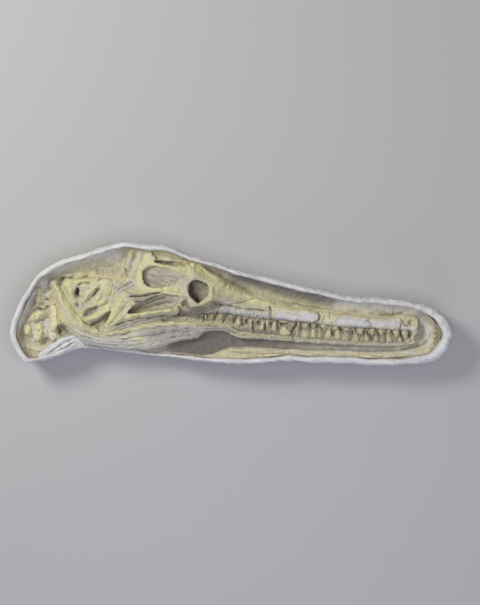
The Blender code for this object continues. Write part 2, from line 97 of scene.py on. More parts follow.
def smooth_line(points, closed=False, step=2.5):
    """A Catmull-Rom curve through the points, read again at even steps of its length."""
    p = np.asarray(points, float)
    if closed:
        p = np.vstack([p[-1], p, p[0], p[1]])
    else:
        p = np.vstack([2 * p[0] - p[1], p, 2 * p[-1] - p[-2]])
    u = np.linspace(0, 1, 12, endpoint=False)[None, :, None]
    a, b, c, d = (p[k: len(p) - 3 + k][:, None, :] for k in range(4))
    fine = np.vstack([catmull_rom(a, b, c, d, u).reshape(-1, 2), p[-2]])
    length = travelled(fine)
    stations = np.linspace(0, length[-1], max(3, int(length[-1] / step) + 1))
    return np.stack([np.interp(stations, length, fine[:, k]) for k in range(2)], axis=1)


# %% [markdown]
# Two measures do most of the work: how far a place is from a line, and how far it is inside an
# outline. Both are worked out for a whole window of the plan at once, one segment at a time.

# %% Distances over the plan
FAR = 45.0  # the furthest that a distance is measured
STRAY = 5.0  # the most that a crooked place lies off


def window(points, reach):
    """The part of the plan within `reach` of the points, as slices of rows and columns."""
    low, high = points.min(axis=0) - reach - STRAY, points.max(axis=0) + reach + STRAY
    c0 = max(int((low[0] - PLAN_WEST) / PITCH), 0)
    c1 = max(int((high[0] - PLAN_WEST) / PITCH) + 2, c0 + 1)
    r0 = max(int((low[1] - PLAN_SOUTH) / PITCH), 0)
    r1 = max(int((high[1] - PLAN_SOUTH) / PITCH) + 2, r0 + 1)
    return np.s_[r0:r1, c0:c1]


def distance(line, reach, places=None):
    """The distance to the nearest segment, at most `reach`, over the whole plan, and the share of
    the line's length where it lies. Each segment is measured only in its own window."""
    px, py = crooked if places is None else places
    best = np.full(X.shape, float(reach))
    share = np.zeros(X.shape)
    last = len(line) - 1
    for k in range(last):
        w = window(line[k: k + 2], reach)
        x, y = px[w] - line[k, 0], py[w] - line[k, 1]
        dx, dy = line[k + 1] - line[k]
        t = np.clip((x * dx + y * dy) / (dx * dx + dy * dy + 1e-9), 0, 1)
        away = np.hypot(x - t * dx, y - t * dy)
        nearer = away < best[w]
        best[w] = np.where(nearer, away, best[w])
        share[w] = np.where(nearer, (k + t) / last, share[w])
    return best, share


def depth_inside(outline, reach, places=None):
    """The distance to a closed outline over the plan, positive inside: a place is inside if a ray
    to the east crosses the outline an odd number of times."""
    px, py = crooked if places is None else places
    ring = np.vstack([outline, outline[:1]])
    away, _ = distance(ring, reach, places)
    inside = np.zeros(X.shape, bool)
    for (x0, y0), (x1, y1) in zip(ring[:-1], ring[1:]):
        w = window(np.array([[PLAN_WEST, y0], [max(x0, x1), y1]]), PITCH)
        if y0 != y1:
            spans = (y0 > py[w]) != (y1 > py[w])
            inside[w] ^= spans & (px[w] < x0 + (py[w] - y0) * (x1 - x0) / (y1 - y0))
    return np.where(inside, away, -away)


# %% [markdown]
# Natural surfaces need disorder at several sizes. A ripple is a sum of plane waves at random
# angles, and it can be drawn out along a grain. Pores come from the distance to the nearest of
# many random points. Every draw has its seed, so that each run gives the same skull.

# %% Disorder and blur
def ripple(size, seed, stretch=1.0, turn=0.0, x=X, y=Y, waves=20):
    """Random relief of unit spread: plane waves near `size` long, `stretch` times longer along a
    grain that is turned by `turn` from the x axis."""
    draw = np.random.default_rng(seed)
    along = (x * math.cos(turn) + y * math.sin(turn)) / stretch
    across = y * math.cos(turn) - x * math.sin(turn)
    total = np.zeros(np.shape(x))
    for angle, length, phase in draw.uniform((0, 0.6, 0), (2 * math.pi, 1.7, 2 * math.pi), (waves, 3)):
        wave = (along * math.cos(angle) + across * math.sin(angle)) * 2 * math.pi / (size * length)
        total += np.sin(wave + phase)
    return total / math.sqrt(waves / 2)


def crack_lines(size, seed, stretch, turn, width=0.16):
    """Thin broken lines: exp(-(r / width)^2) where a drawn-out ripple r crosses zero, in patches."""
    line = np.exp(-((ripple(size, seed, stretch, turn) / width) ** 2))
    return line * eased(0.5 + 0.6 * ripple(3.0 * size, seed + 500))


def pores(size, seed):
    """The distance to the nearest random point, one point to a square of the given size."""
    table = np.random.default_rng(seed).random((2, 256, 256))
    u, v = X / size, Y / size
    column, row = np.floor(u).astype(int), np.floor(v).astype(int)
    best = np.full(X.shape, 9.0)
    for i in (-1, 0, 1):
        for j in (-1, 0, 1):
            c, r = column + i, row + j
            du, dv = table[:, r % 256, c % 256] + (c - u, r - v)
            best = np.minimum(best, np.hypot(du, dv))
    return best


def blurred(field, radius):
    """The mean over a square window, taken twice, which comes close to a soft round blur."""
    n = max(1, round(radius / PITCH))
    for axis in (0, 1, 0, 1):
        pad = [(0, 0), (0, 0)]
        pad[axis] = (n + 1, n)
        total = np.cumsum(np.pad(field, pad, mode="edge"), axis=axis)
        high = np.take(total, np.arange(2 * n + 1, total.shape[axis]), axis=axis)
        low = np.take(total, np.arange(0, total.shape[axis] - 2 * n - 1), axis=axis)
        field = (high - low) / (2 * n + 1)
    return field


def eased(share):
    """A step from 0 to 1 with soft ends: 3 s^2 - 2 s^3."""
    s = np.clip(share, 0, 1)
    return s * s * (3 - 2 * s)


# %% [markdown]
# No line on an old bone is straight. Distances are therefore measured from crooked places: the
# plan pushed to and fro by a millimetre or two. Marks are also uneven in height along their run.

# %% Crooked places
crooked = (
    X + np.clip(0.7 * ripple(36, 1) + 0.22 * ripple(9, 2), -STRAY, STRAY),
    Y + np.clip(0.7 * ripple(36, 6) + 0.22 * ripple(9, 7), -STRAY, STRAY),
)
uneven = np.clip(1 + 0.22 * ripple(26, 8), 0.5, 1.5)
print("furthest push east or west, mm:", np.abs(crooked[0] - X).max().round(1))

# %% [markdown]
# A relief holds a height and four tints over the plan. Each mark on the real surface is one
# call: a stroke is a ridge or a groove with a bell-shaped section, a hollow is an oval dish, a
# plate is an outline with a crisp step. Strokes also lay down tints where the bone is yellow,
# pale, grey or stained brown, and where grey or brown shade, or pale light, is painted on.

# %% The relief and its marks
TINTS = ("yellow", "pale", "grey", "brown")


class Relief:
    """A height in millimetres and a set of tints from 0 to 1, all over the same plan."""

    def __init__(self, level):
        self.height = np.full(X.shape, float(level))
        self.tints = {name: np.zeros(X.shape) for name in TINTS}

    def stroke(self, pixels, width, height, tint=None, tapered=True):
        """height * exp(-(distance / half width)^2) along a line, fading at both ends."""
        line = smooth_line(on_plan(pixels))
        w = window(line, 1.4 * width)
        away, share = (field[w] for field in distance(line, 1.4 * width))
        bell = np.exp(-((away / (width / 2)) ** 2))
        if tapered:
            bell = bell * uneven[w] * eased(np.minimum(share, 1 - share) / 0.12 + 0.15)
        self.lay(w, bell, height, tint)

    def hollow(self, centre, radii, turn, height, level_share=0.55):
        """An oval: full height within a share of its radius, then a soft slope to its edge."""
        x0, y0 = on_plan(centre)[0]
        w = window(np.array([[x0, y0]]), max(radii) + 2)
        c, s = math.cos(math.radians(turn)), math.sin(math.radians(turn))
        x, y = crooked[0][w] - x0, crooked[1][w] - y0
        out = np.hypot((x * c + y * s) / radii[0], (y * c - x * s) / radii[1])
        self.lay(w, eased((1 - out) / (1 - level_share)), height)

    def plate(self, pixels, height, edge):
        """An area with a step at its outline that is `edge` wide."""
        outline = smooth_line(on_plan(pixels), closed=True)
        w = window(outline, 2 + edge)
        self.lay(w, eased(depth_inside(outline, 2 + edge)[w] / edge + 0.5), height)

    def soak(self, tint, share):
        """Raises a tint to a share that is given over the whole plan."""
        self.tints[tint] = np.maximum(self.tints[tint], share)

    def lay(self, w, shape, amount, tint=None):
        """Adds a shape to the height, or raises a tint to it."""
        if tint is None:
            self.height[w] += amount * shape
        else:
            self.tints[tint][w] = np.maximum(self.tints[tint][w], amount * shape)

    def settle(self, outline, places):
        """Sets the surface inside an outline to a plane through three places (u, v, height)."""
        ring = smooth_line(on_plan(outline), closed=True)
        w = window(ring, 8)
        p = np.array(places, float)
        plan = on_plan(p[:, :2])
        a, b, c = np.linalg.solve(np.column_stack([plan, np.ones(3)]), p[:, 2])
        level = a * X[w] + b * Y[w] + c
        share = eased(depth_inside(ring, 8)[w] / 4 + 1.5)
        self.height[w] = self.height[w] * (1 - share) + level * share

    def report(self, name):
        """Prints how low and how high the surface lies."""
        print(name, "from", self.height.min().round(1), "to", self.height.max().round(1), "mm")


def marks(relief, strength=1.0, soil=0.0, **strokes):
    """Draws strokes: name=(width, height, points of the line). Grooves get a grey painted shade."""
    for width, height, *line in strokes.values():
        relief.stroke(line, width, height * strength)
        # The grey laid along a groove is painted shade.
        if height < 0 and soil:
            relief.stroke(line, 0.8 * width, soil, "grey")
    print("strokes drawn:", len(strokes))


def stains(relief, tint, **lines):
    """Lays a tint along lines: name=(width, strength, points of the line)."""
    for width, strength, *line in lines.values():
        relief.stroke(line, width, strength, tint, tapered=False)
    print(tint, "stains laid:", len(lines))


# %% [markdown]
# From relief to solid. A piece is cut from the plan like a biscuit: cells whose centre lies
# inside the piece are kept, the outermost points are pulled on to the true outline, walls go
# down from there, and a copy of the cells closes the underside. The result is one closed body.

# %% Which cells are kept, and their border
def read(field, x, y):
    """The value of a plan field at any place, straight between its four neighbours."""
    c = np.clip((x - PLAN_WEST) / PITCH, 0, X.shape[1] - 1.001)
    r = np.clip((y - PLAN_SOUTH) / PITCH, 0, X.shape[0] - 1.001)
    i, j = r.astype(int), c.astype(int)
    s, t = r - i, c - j
    low = field[i, j] * (1 - t) + field[i, j + 1] * t
    high = field[i + 1, j] * (1 - t) + field[i + 1, j + 1] * t
    return low * (1 - s) + high * s


def kept_cells(depth):
    """Cells whose mean depth is positive, without corner contacts, in one connected patch."""
    centre = (depth[:-1, :-1] + depth[1:, :-1] + depth[:-1, 1:] + depth[1:, 1:]) / 4
    keep = centre > 0
    keep[[0, -1]] = False
    keep[:, [0, -1]] = False
    for _ in range(3):
        a, b, c, d = keep[:-1, :-1], keep[:-1, 1:], keep[1:, :-1], keep[1:, 1:]
        corner = (a & d & ~b & ~c) | (b & c & ~a & ~d)
        for part in (a, b, c, d):
            part |= corner
    body = np.zeros_like(keep)
    body[np.unravel_index(np.argmax(np.where(keep, centre, -1)), keep.shape)] = True
    size = 0
    while body.sum() != size:
        size = body.sum()
        for _ in range(20):
            grown = body.copy()
            grown[1:] |= body[:-1]
            grown[:-1] |= body[1:]
            grown[:, 1:] |= body[:, :-1]
            grown[:, :-1] |= body[:, 1:]
            body = grown & keep
    return body


def outer_edges(keep, index):
    """The directed edges round the kept cells, with the kept side on the left."""
    row, column = np.nonzero(keep)
    pairs = []
    for dr, dc, start, end in ((-1, 0, (0, 0), (0, 1)), (0, 1, (0, 1), (1, 1)),
                               (1, 0, (1, 1), (1, 0)), (0, -1, (1, 0), (0, 0))):
        free = ~keep[row + dr, column + dc]
        r, c = row[free], column[free]
        pairs.append(np.column_stack([index[r + start[0], c + start[1]], index[r + end[0], c + end[1]]]))
    return np.vstack(pairs)


def one_loop(edges):
    """The points of a closed run of directed edges, in order."""
    after = np.zeros(len(edges), int)
    after[edges[:, 0]] = edges[:, 1]
    run = [0]
    while after[run[-1]] != 0:
        run.append(int(after[run[-1]]))
    return np.array(run)


# %% A mesh from points and faces
def mesh_piece(name, points, faces, look, tints=None, caps=()):
    """A smooth-shaded mesh object from points in millimetres, quads, and flat faces of any size."""
    mesh = bpy.data.meshes.new(name)
    mesh.vertices.add(len(points))
    mesh.vertices.foreach_set("co", (points * MM).astype(np.float32).ravel())
    corners = np.concatenate([faces.ravel(), *caps]).astype(np.int32)
    starts = np.cumsum([0] + [4] * len(faces) + [len(cap) for cap in caps])[:-1].astype(np.int32)
    mesh.loops.add(len(corners))
    mesh.loops.foreach_set("vertex_index", corners)
    mesh.polygons.add(len(starts))
    mesh.polygons.foreach_set("loop_start", starts)
    mesh.update(calc_edges=True)
    mesh.shade_smooth()
    mesh.materials.append(look)
    for tint, values in (tints or {}).items():
        layer = mesh.attributes.new(tint, "FLOAT", "POINT")
        layer.data.foreach_set("value", np.clip(values, 0, 1).astype(np.float32))
    made = bpy.data.objects.new(name, mesh)
    bpy.context.scene.collection.objects.link(made)
    return made


# %% Cut a body out of a relief
# The brown painted down a wall, into the gap under a piece's edge, is shade.
SOILED_OVER = 22.0  # how far down a wall its brown is full


def on_outline(depth, x, y, reach):
    """Places moved to where the depth is zero, in two steps of at most `reach` down its slope, and
    the way outwards there."""
    for _ in range(2):
        gx = (read(depth, x + PITCH, y) - read(depth, x - PITCH, y)) / (2 * PITCH)
        gy = (read(depth, x, y + PITCH) - read(depth, x, y - PITCH)) / (2 * PITCH)
        slope = np.maximum(np.hypot(gx, gy), 0.3)
        pull = np.clip(read(depth, x, y) / slope, -reach, reach)
        x = x - pull * gx / slope
        y = y - pull * gy / slope
    return x, y, np.column_stack([-gx / slope, -gy / slope])


def cut_piece(name, depth, relief, floor, look, wall_rows=5, stride=1, whole=False, soiled=0.75):
    """The body between a relief and a level floor, where the depth is positive. A whole piece,
    without openings, gets one flat face below, and any other gets a copy of its upper cells. Its
    walls get a brown painted shade that grows downwards, up to a given share."""
    keep = kept_cells(depth[::stride, ::stride])
    rows, columns = np.nonzero(keep)
    shape = (keep.shape[0] + 1, keep.shape[1] + 1)
    corners = np.stack([rows * shape[1] + columns, rows * shape[1] + columns + 1,
                        (rows + 1) * shape[1] + columns + 1, (rows + 1) * shape[1] + columns], axis=1)
    used, top_faces = np.unique(corners, return_inverse=True)
    top_faces = top_faces.reshape(corners.shape)
    index = np.full(shape[0] * shape[1], -1)
    index[used] = np.arange(len(used))
    edges = outer_edges(keep, index.reshape(shape))
    x = east[::stride][used % shape[1]]
    y = north[::stride][used // shape[1]]
    border = np.unique(edges)
    x[border], y[border], outward = on_outline(depth, x[border], y[border], PITCH * stride)
    z = read(relief.height, x, y)
    place = np.full(len(used), -1)
    place[border] = np.arange(len(border))
    layers = [np.column_stack([x, y, z])]
    depths = [np.zeros(len(used))]
    rings = [border]
    first = len(used)
    for k in range(1, wall_rows):
        share = k / wall_rows
        level = z[border] + (floor - z[border]) * share
        rough = 0.35 * ripple(5, 31, x=x[border] + y[border], y=level * 1.3, waves=12)
        belly = 0.5 * math.sin(math.pi * share)
        plan = np.column_stack([x[border], y[border]]) + outward * (rough * belly * 2 - belly)[:, None]
        layers.append(np.column_stack([plan, level]))
        depths.append(z[border] - level)
        rings.append(first + np.arange(len(border)))
        first += len(border)
    below = border if whole else np.arange(len(used))
    layers.append(np.column_stack([x[below], y[below], np.full(len(below), float(floor))]))
    depths.append(np.full(len(below), 9.0))
    rings.append(first + (np.arange(len(border)) if whole else border))
    faces = [top_faces] if whole else [top_faces, first + top_faces[:, ::-1]]
    a, b = place[edges[:, 0]], place[edges[:, 1]]
    caps = [first + one_loop(np.column_stack([a, b]))[::-1]] if whole else []
    for high, low in zip(rings[:-1], rings[1:]):
        faces.append(np.column_stack([low[a], low[b], high[b], high[a]]))
    points = np.vstack(layers)
    fallen = np.concatenate(depths)
    tints = {tint: read(field, points[:, 0], points[:, 1]) for tint, field in relief.tints.items()}
    # The walls get a brown painted shade that grows downwards.
    tints["brown"] = np.maximum(tints["brown"], np.clip(fallen / SOILED_OVER, 0, soiled))
    made = mesh_piece(name, points, np.vstack(faces), look, tints, caps)
    made.data.set_sharp_from_angle(angle=math.radians(55))
    return made


# %% [markdown]
# Materials. Every finish starts from what the real thing is. One function turns a hex colour
# into the linear values that the shader wants, and one adds a node with its settings and links.

# %% Colours and nodes
def linear(hex_colour):
    """An sRGB hex colour as linear red, green, blue and alpha."""
    value = np.array([int(hex_colour[k: k + 2], 16) for k in (1, 3, 5)]) / 255
    value = np.where(value <= 0.04045, value / 12.92, ((value + 0.055) / 1.055) ** 2.4)
    return (*value.tolist(), 1.0)


def add(tree, kind, inputs=None, **settings):
    """Adds a node. A value given for an input is set on its socket, and an output is linked."""
    node = tree.nodes.new(kind)
    for name, value in settings.items():
        setattr(node, name, value)
    for socket, value in (inputs or {}).items():
        if isinstance(value, bpy.types.NodeSocket):
            tree.links.new(value, node.inputs[socket])
        else:
            node.inputs[socket].default_value = value
    return node


def fresh_material(name, roughness):
    """An empty material with a shader, and its node tree."""
    made = bpy.data.materials.new(name)
    made.use_nodes = True
    shader = made.node_tree.nodes["Principled BSDF"]
    shader.inputs["Roughness"].default_value = roughness
    shader.inputs["Metallic"].default_value = 0.0
    print("material:", name)
    return made, made.node_tree, shader


def two_shades(tree, noise, light, deep):
    """A colour that drifts from light to deep as a noise rises from 0.35 to 0.65."""
    spread = add(tree, "ShaderNodeMapRange", {0: noise, 1: 0.35, 2: 0.65})
    return add(tree, "ShaderNodeMix", {0: spread.outputs[0], 6: linear(light), 7: linear(deep)},
               data_type="RGBA").outputs[2]


# %% [markdown]
# Fossil bone and rock are both mineral, dull and dusty. What the eye sees is a broad drift
# between two shades, a finer mottle, the tints of the relief, and a grain too small to model.
# The drift is a few centimetres long, the mottle a few millimetres, and the grain about one.

# %% Mineral finishes
def mineral(name, light, deep, tints, drift_mm, mottle_mm, grain_mm, grain_height, roughness):
    """A dusty mineral surface that takes its tints from the relief."""
    made, tree, shader = fresh_material(name, roughness)
    place = add(tree, "ShaderNodeTexCoord").outputs["Object"]
    drift = add(tree, "ShaderNodeTexNoise", {"Vector": place, "Scale": 1000 / drift_mm, "Detail": 4.0})
    mottle = add(tree, "ShaderNodeTexNoise",
                 {"Vector": place, "Scale": 1000 / mottle_mm, "Detail": 5.0, "Roughness": 0.65})
    colour = two_shades(tree, drift.outputs[0], light, deep)
    for tint, hex_colour in tints.items():
        layer = add(tree, "ShaderNodeAttribute", attribute_name=tint)
        broken = add(tree, "ShaderNodeMapRange", {0: mottle.outputs[0], 1: 0.3, 2: 0.7, 3: 0.72, 4: 1.15})
        share = add(tree, "ShaderNodeMath", {0: layer.outputs["Fac"], 1: broken.outputs[0]},
                    operation="MULTIPLY", use_clamp=True)
        colour = add(tree, "ShaderNodeMix", {0: share.outputs[0], 6: colour, 7: linear(hex_colour)},
                     data_type="RGBA").outputs[2]
    speck = add(tree, "ShaderNodeMapRange", {0: mottle.outputs[0], 1: 0.25, 2: 0.75, 3: 0.9, 4: 1.08})
    grey = add(tree, "ShaderNodeCombineColor", {k: speck.outputs[0] for k in range(3)})
    colour = add(tree, "ShaderNodeMix", {0: 1.0, 6: colour, 7: grey.outputs[0]}, data_type="RGBA",
                 blend_type="MULTIPLY").outputs[2]
    tree.links.new(colour, shader.inputs["Base Color"])
    grain = add(tree, "ShaderNodeTexNoise",
                {"Vector": place, "Scale": 1000 / grain_mm, "Detail": 6.0, "Roughness": 0.7})
    bump = add(tree, "ShaderNodeBump", {"Height": grain.outputs[0], "Distance": grain_height * MM})
    tree.links.new(bump.outputs[0], shader.inputs["Normal"])
    return made


# The grey and brown tints hold stains and also painted shade, the pale some painted light, and the yellow
# some painted highlight.
# Fossil bone: mineral-filled bone, brushed clean. Cream, with a dull sheen where it is dense.
fossil_bone = mineral("fossil_bone", "#CFC9A8", "#C2BA94",
                      {"grey": "#918C85", "pale": "#C1C0B9", "yellow": "#D6CF99", "brown": "#57452F"},
                      40, 7, 1.6, 0.35, 0.72)
# Snout bone: the same bone bleached paler by weather, with a lavender cast in its shade.
snout_bone = mineral("bleached_snout_bone", "#CFCAB4", "#C3BB9C",
                     {"grey": "#A29B94", "pale": "#CFCDD0", "yellow": "#D2CB94", "brown": "#52422F"},
                     45, 6, 1.4, 0.3, 0.68)
# Neck bone: softer and dustier than the skull, the colour of the rock round it.
neck_bone = mineral("dusty_neck_bone", "#D6CFAE", "#CBC39E",
                    {"grey": "#9E958A", "pale": "#CFCAC0", "yellow": "#DFD7A8", "brown": "#5E4A34"},
                    30, 7, 1.8, 0.45, 0.8)
# Rock bed: soft mudstone scraped with a blade. Matt, mauve-grey to buff, sandy to the touch.
mudstone = mineral("scraped_mudstone", "#BAB3A0", "#A9A190",
                   {"yellow": "#CBC298", "pale": "#DCD7CC", "grey": "#6F6A66", "brown": "#4A3A28"},
                   60, 9, 1.2, 0.4, 0.92)


# %% [markdown]
# The outlines of the bones. The upper skull is one long outline from the jaw joint over the
# roof of the skull to the tip of the snout and back along the tooth margin, with five openings.
# Seams part it into the bones of the frame.

# %% Outlines
UPPER_SKULL = [
    (103, 329), (104, 325), (106.5, 319), (109.5, 312), (112, 303), (114, 295), (116.5, 287), (119, 280),
    (121, 274.5), (123, 268), (125.5, 259), (128.5, 250.8), (133, 249), (139, 249.8), (150, 250.2),
    (158, 251.5), (166, 253), (180, 256.4), (187, 259.3), (191.5, 259.8), (193.8, 258.3), (196.5, 260.2),
    (199, 264), (203, 268), (208, 272.5), (214, 276), (219.3, 278), (225, 282), (231.4, 285.4),
    (240, 289.4), (249, 293), (256, 295.6), (268, 299.8), (281.7, 304), (296, 307), (312, 309.2),
    (320, 310.4), (335, 312.4), (350, 314.5), (365, 316.2), (380, 317.4), (398, 317.2), (404, 315.8),
    (411, 316), (417, 318), (419, 321.5), (419.3, 327), (418.8, 332.5), (417, 337.5), (414.8, 341),
    (411.8, 340.6), (411.4, 337.5), (412.6, 334.8), (410.5, 332.4), (405, 331.4), (395, 331.2),
    (380, 330), (360, 328.6), (340, 328), (320, 325.2), (300, 323), (285, 321.2), (270, 320),
    (260, 319), (250, 318), (240, 316.8), (231, 315), (216, 314), (205, 314), (197, 316), (190, 317.3),
    (183, 316), (176, 315.5), (162, 319), (148, 321.9), (134, 325.4), (122, 328.5), (112, 330.6),
    (105, 331.2),
]
OPENINGS = {
    "orbit": [
        (188.3, 289), (189.3, 284.5), (192.5, 281), (197, 279.4), (202, 280.2), (206, 283), (208.6, 287),
        (209, 291), (207.5, 295.5), (203.5, 299.5), (199.5, 302.3), (197, 302.2), (193, 298.5), (190, 294),
    ],
    "upper_temple": [
        (142.6, 276), (143.5, 271), (146.5, 267.8), (152, 266.4), (160, 266.8), (168, 268.2), (176, 270.6),
        (182.5, 274), (183.7, 277), (180, 280), (176, 283), (170, 285), (160, 286.6), (150, 286.6),
        (145, 283),
    ],
    "far_slit": [
        (154.7, 259.6), (160, 259.8), (170, 260.6), (180, 261.8), (185.5, 262.8), (185.5, 265.8),
        (178, 265.4), (168, 264.4), (160, 263), (156, 261.8),
    ],
    "cheek": [
        (127.5, 311.8), (131, 307.5), (136, 303.4), (145, 300), (153, 297.8), (160, 295.4), (163, 293.3),
        (168, 293.6), (174, 294.5), (179, 295.5), (179.5, 299), (177, 303.6), (174, 306.3), (165, 308.2),
        (152, 310), (140, 312), (132, 313.2),
    ],
    "foramen": [
        (182, 302.5), (183, 300), (185.5, 298.9), (187.6, 299.7), (188, 301.8), (187, 304.3),
        (185.3, 305.8), (183.5, 305.3),
    ],
}
LOWER_JAW = [
    (50.6, 281), (57, 281), (60, 287), (66.6, 298), (71, 305), (75.4, 311), (79, 317), (84, 322),
    (89, 325), (94.2, 328.4), (99, 331.6), (103, 333.8), (111.8, 332.6), (122.2, 330.4), (134.2, 327.4),
    (147.8, 324.3), (162.2, 322), (175.8, 321.6), (190.2, 321.4), (211, 321.6), (226.2, 323.6),
    (235, 328.8), (245, 331.8), (270.2, 334.6), (294.2, 336.8), (319.8, 339.4), (350, 341.4),
    (379.8, 342.6), (400, 342.6), (410, 342), (416, 340.8), (417.4, 343.4), (414, 345.8), (406, 347),
    (395, 347.4), (380, 347.2), (350, 346.3), (320, 344.6), (294, 342.8), (270, 341), (250, 339.6),
    (238, 338.6), (231.5, 336.2), (227.5, 333), (218, 332), (206, 332.6), (201, 336), (197, 339),
    (186, 340.6), (173, 343.4), (162, 347), (150, 350.2), (135, 351), (119.8, 350.6), (105, 349),
    (94, 347), (85, 345.2), (78, 341.4), (73, 336.4), (66.6, 329.4), (60.4, 323.6), (58, 314),
    (57, 300), (53.5, 289),
]
BRAINCASE = [
    (63, 281.6), (67, 278.6), (75, 277.8), (90, 277), (104, 276), (113, 277.2), (118.6, 280.6),
    (116, 287), (113.5, 295), (111.5, 303), (109, 312), (106, 319), (103.4, 324), (98, 326),
    (92, 326), (86, 321.6), (80.4, 315), (76.4, 309), (72, 302.6), (68, 296), (65, 290), (62.6, 285),
]
NECK = {
    "neck_rib": [(36, 288.4), (38.2, 287.6), (39.8, 289.4), (39.6, 297), (40.2, 302), (36.6, 302.4),
                 (36.2, 296)],
    "neck_arch": [(26.2, 319.6), (31, 314.6), (38, 312), (44.4, 312.4), (44.6, 316), (39.6, 319.8),
                  (32, 322.2), (27.4, 322.2)],
    "neck_plate": [(50, 304.4), (53.6, 304), (55.8, 309), (56.2, 318), (56.8, 327), (54, 331), (50.6, 330.6),
                   (50.4, 316)],
    "neck_block_top": [(22.6, 325), (27, 324), (30, 326.4), (29.8, 333), (27.6, 336.4), (23.4, 335.6),
                       (22, 330)],
    "neck_block_low": [(34.4, 325.4), (38.4, 324.4), (41, 328), (41, 337), (38.6, 341.6), (34.8, 341),
                       (34, 333)],
}
print("openings:", len(OPENINGS), "bones of the neck:", len(NECK))

# %% [markdown]
# The tray's edge and its inner wall come first, because the rock bed fills what the wall leaves.
# The edge is the same outline as in the frame, and the rim's width and rise change along it.

# %% The tray's edge
TRAY_EDGE = [
    (-551, -88), (-545, -108), (-528, -134), (-510, -149), (-478, -145), (-440, -134),
    (-410, -122), (-380, -114), (-352, -113), (-315, -121), (-272, -126), (-202, -135),
    (-128, -141), (-65, -149), (22, -153), (85, -150), (148, -145), (198, -149),
    (272, -151), (348, -156), (422, -155), (485, -151), (520, -138), (542, -110),
    (552, -78), (545, -52), (522, -25), (490, -8), (448, 1), (372, 11),
    (298, 15), (248, 26), (172, 42), (98, 61), (22, 80), (-52, 103),
    (-103, 118), (-152, 139), (-215, 146), (-268, 150), (-320, 138), (-368, 122),
    (-425, 105), (-469, 80), (-492, 55), (-509, 30), (-525, 5), (-535, -20),
    (-546, -45), (-550, -70),
]
TRAY_SPINE = np.array([(-440.0, -40.0), (470.0, -78.0)])
RIM_WIDTH = {
    "upper": [(-550, 15), (-500, 13), (-300, 12), (-95, 8), (20, 10), (440, 12), (520, 23), (552, 25)],
    "lower": [(-550, 15), (-440, 13), (-360, 9), (-180, 9), (20, 13), (420, 18), (520, 24), (552, 25)],
}
RIM_RISE = {
    "upper": [(-550, 38), (-300, 42), (-95, 44), (100, 34), (552, 32)],
    "lower": [(-550, 38), (-420, 30), (-375, 0), (-170, 0), (-110, 22), (100, 30), (552, 32)],
}
BANK_WIDTH = {
    "upper": [(-550, 10), (-480, 14), (-440, 30), (-400, 46), (-300, 44), (-250, 24), (-110, 22), (-60, 24),
              (30, 40), (200, 40), (400, 30), (470, 22), (552, 30)],
    "lower": [(-550, 10), (-375, 4), (-150, 3), (-72, 4), (-45, 10), (-30, 18), (0, 29), (50, 30), (100, 22),
              (135, 14), (200, 15), (300, 16), (440, 17), (500, 26), (552, 32)],
}
BANK_RISE = {
    "upper": [(-550, 10), (-480, 10), (-440, 15), (-400, 18), (-350, 28), (-300, 32), (-250, 36), (-90, 37),
              (-50, 30), (0, 20), (100, 18), (420, 18), (552, 20)],
    "lower": [(-550, 10), (-440, 10), (-375, 0), (-150, 0), (-80, 6), (-30, 14), (60, 16), (420, 16),
              (552, 20)],
}


def round_the_edge(stations):
    """The edge at even stations, the way in from it, and the rim's width and rise there."""
    edge = smooth_line(TRAY_EDGE, closed=True, step=1)
    edge = edge[np.linspace(0, len(edge) - 1, stations, endpoint=False).astype(int)]
    start, run = TRAY_SPINE[0], TRAY_SPINE[1] - TRAY_SPINE[0]
    share = np.clip((edge - start) @ run / (run @ run), 0, 1)
    spine = start + share[:, None] * run
    side = edge[:, 1] > spine[:, 1]
    sizes = []
    for table in (RIM_WIDTH, RIM_RISE):
        high, low = (np.interp(edge[:, 0], *zip(*table[part])) for part in ("upper", "lower"))
        sizes.append(np.where(side, high, low))
    inward = (spine - edge) / np.linalg.norm(spine - edge, axis=1)[:, None]
    return edge, spine, inward, *sizes


edge, spine, inward, rim_width, rim_rise = round_the_edge(900)
wall_depth = blurred(depth_inside(edge + inward * rim_width[:, None], FAR, (X, Y)), 2)
print("tray edge, mm round:", int(travelled(edge)[-1]))

# %% [markdown]
# How deep every place lies inside the upper skull, the lower jaw, the braincase and the bones of
# the neck. The broken margins are a little ragged. The openings are measured from outside.

# %% Depths inside the bones
ragged = 0.35 * ripple(11, 3) + 0.2 * ripple(5, 4)


def depth_of(outline, reach=FAR):
    """The depth inside a smoothed outline that is given in pixels."""
    return depth_inside(smooth_line(on_plan(outline), closed=True), reach)


upper_depth = depth_of(UPPER_SKULL) + ragged
jaw_depth = depth_of(LOWER_JAW) + ragged
brain_depth = np.minimum(depth_of(BRAINCASE) + ragged, np.minimum(-upper_depth, -jaw_depth) - 0.2)
neck_depth = {name: depth_of(outline, 16) + 0.5 * ragged for name, outline in NECK.items()}
hole_depth = np.full(X.shape, FAR)
for outline in OPENINGS.values():
    hole_depth = np.minimum(hole_depth, 0.4 * ragged - depth_of(outline))
bone_depth = np.minimum(upper_depth, hole_depth)
skull_depth = np.maximum.reduce([upper_depth, jaw_depth, brain_depth])
print("deepest place inside the skull, mm:", round(float(skull_depth.max()), 1))

# %% [markdown]
# The ground is what the preparator's blade left. It is level in the middle and banks up to the
# wall: hollow along the top, and along the bottom a terrace that ends in a step. Beside the bones
# it is left standing, so that they seem to swell out of the rock, except where the trough was cut.

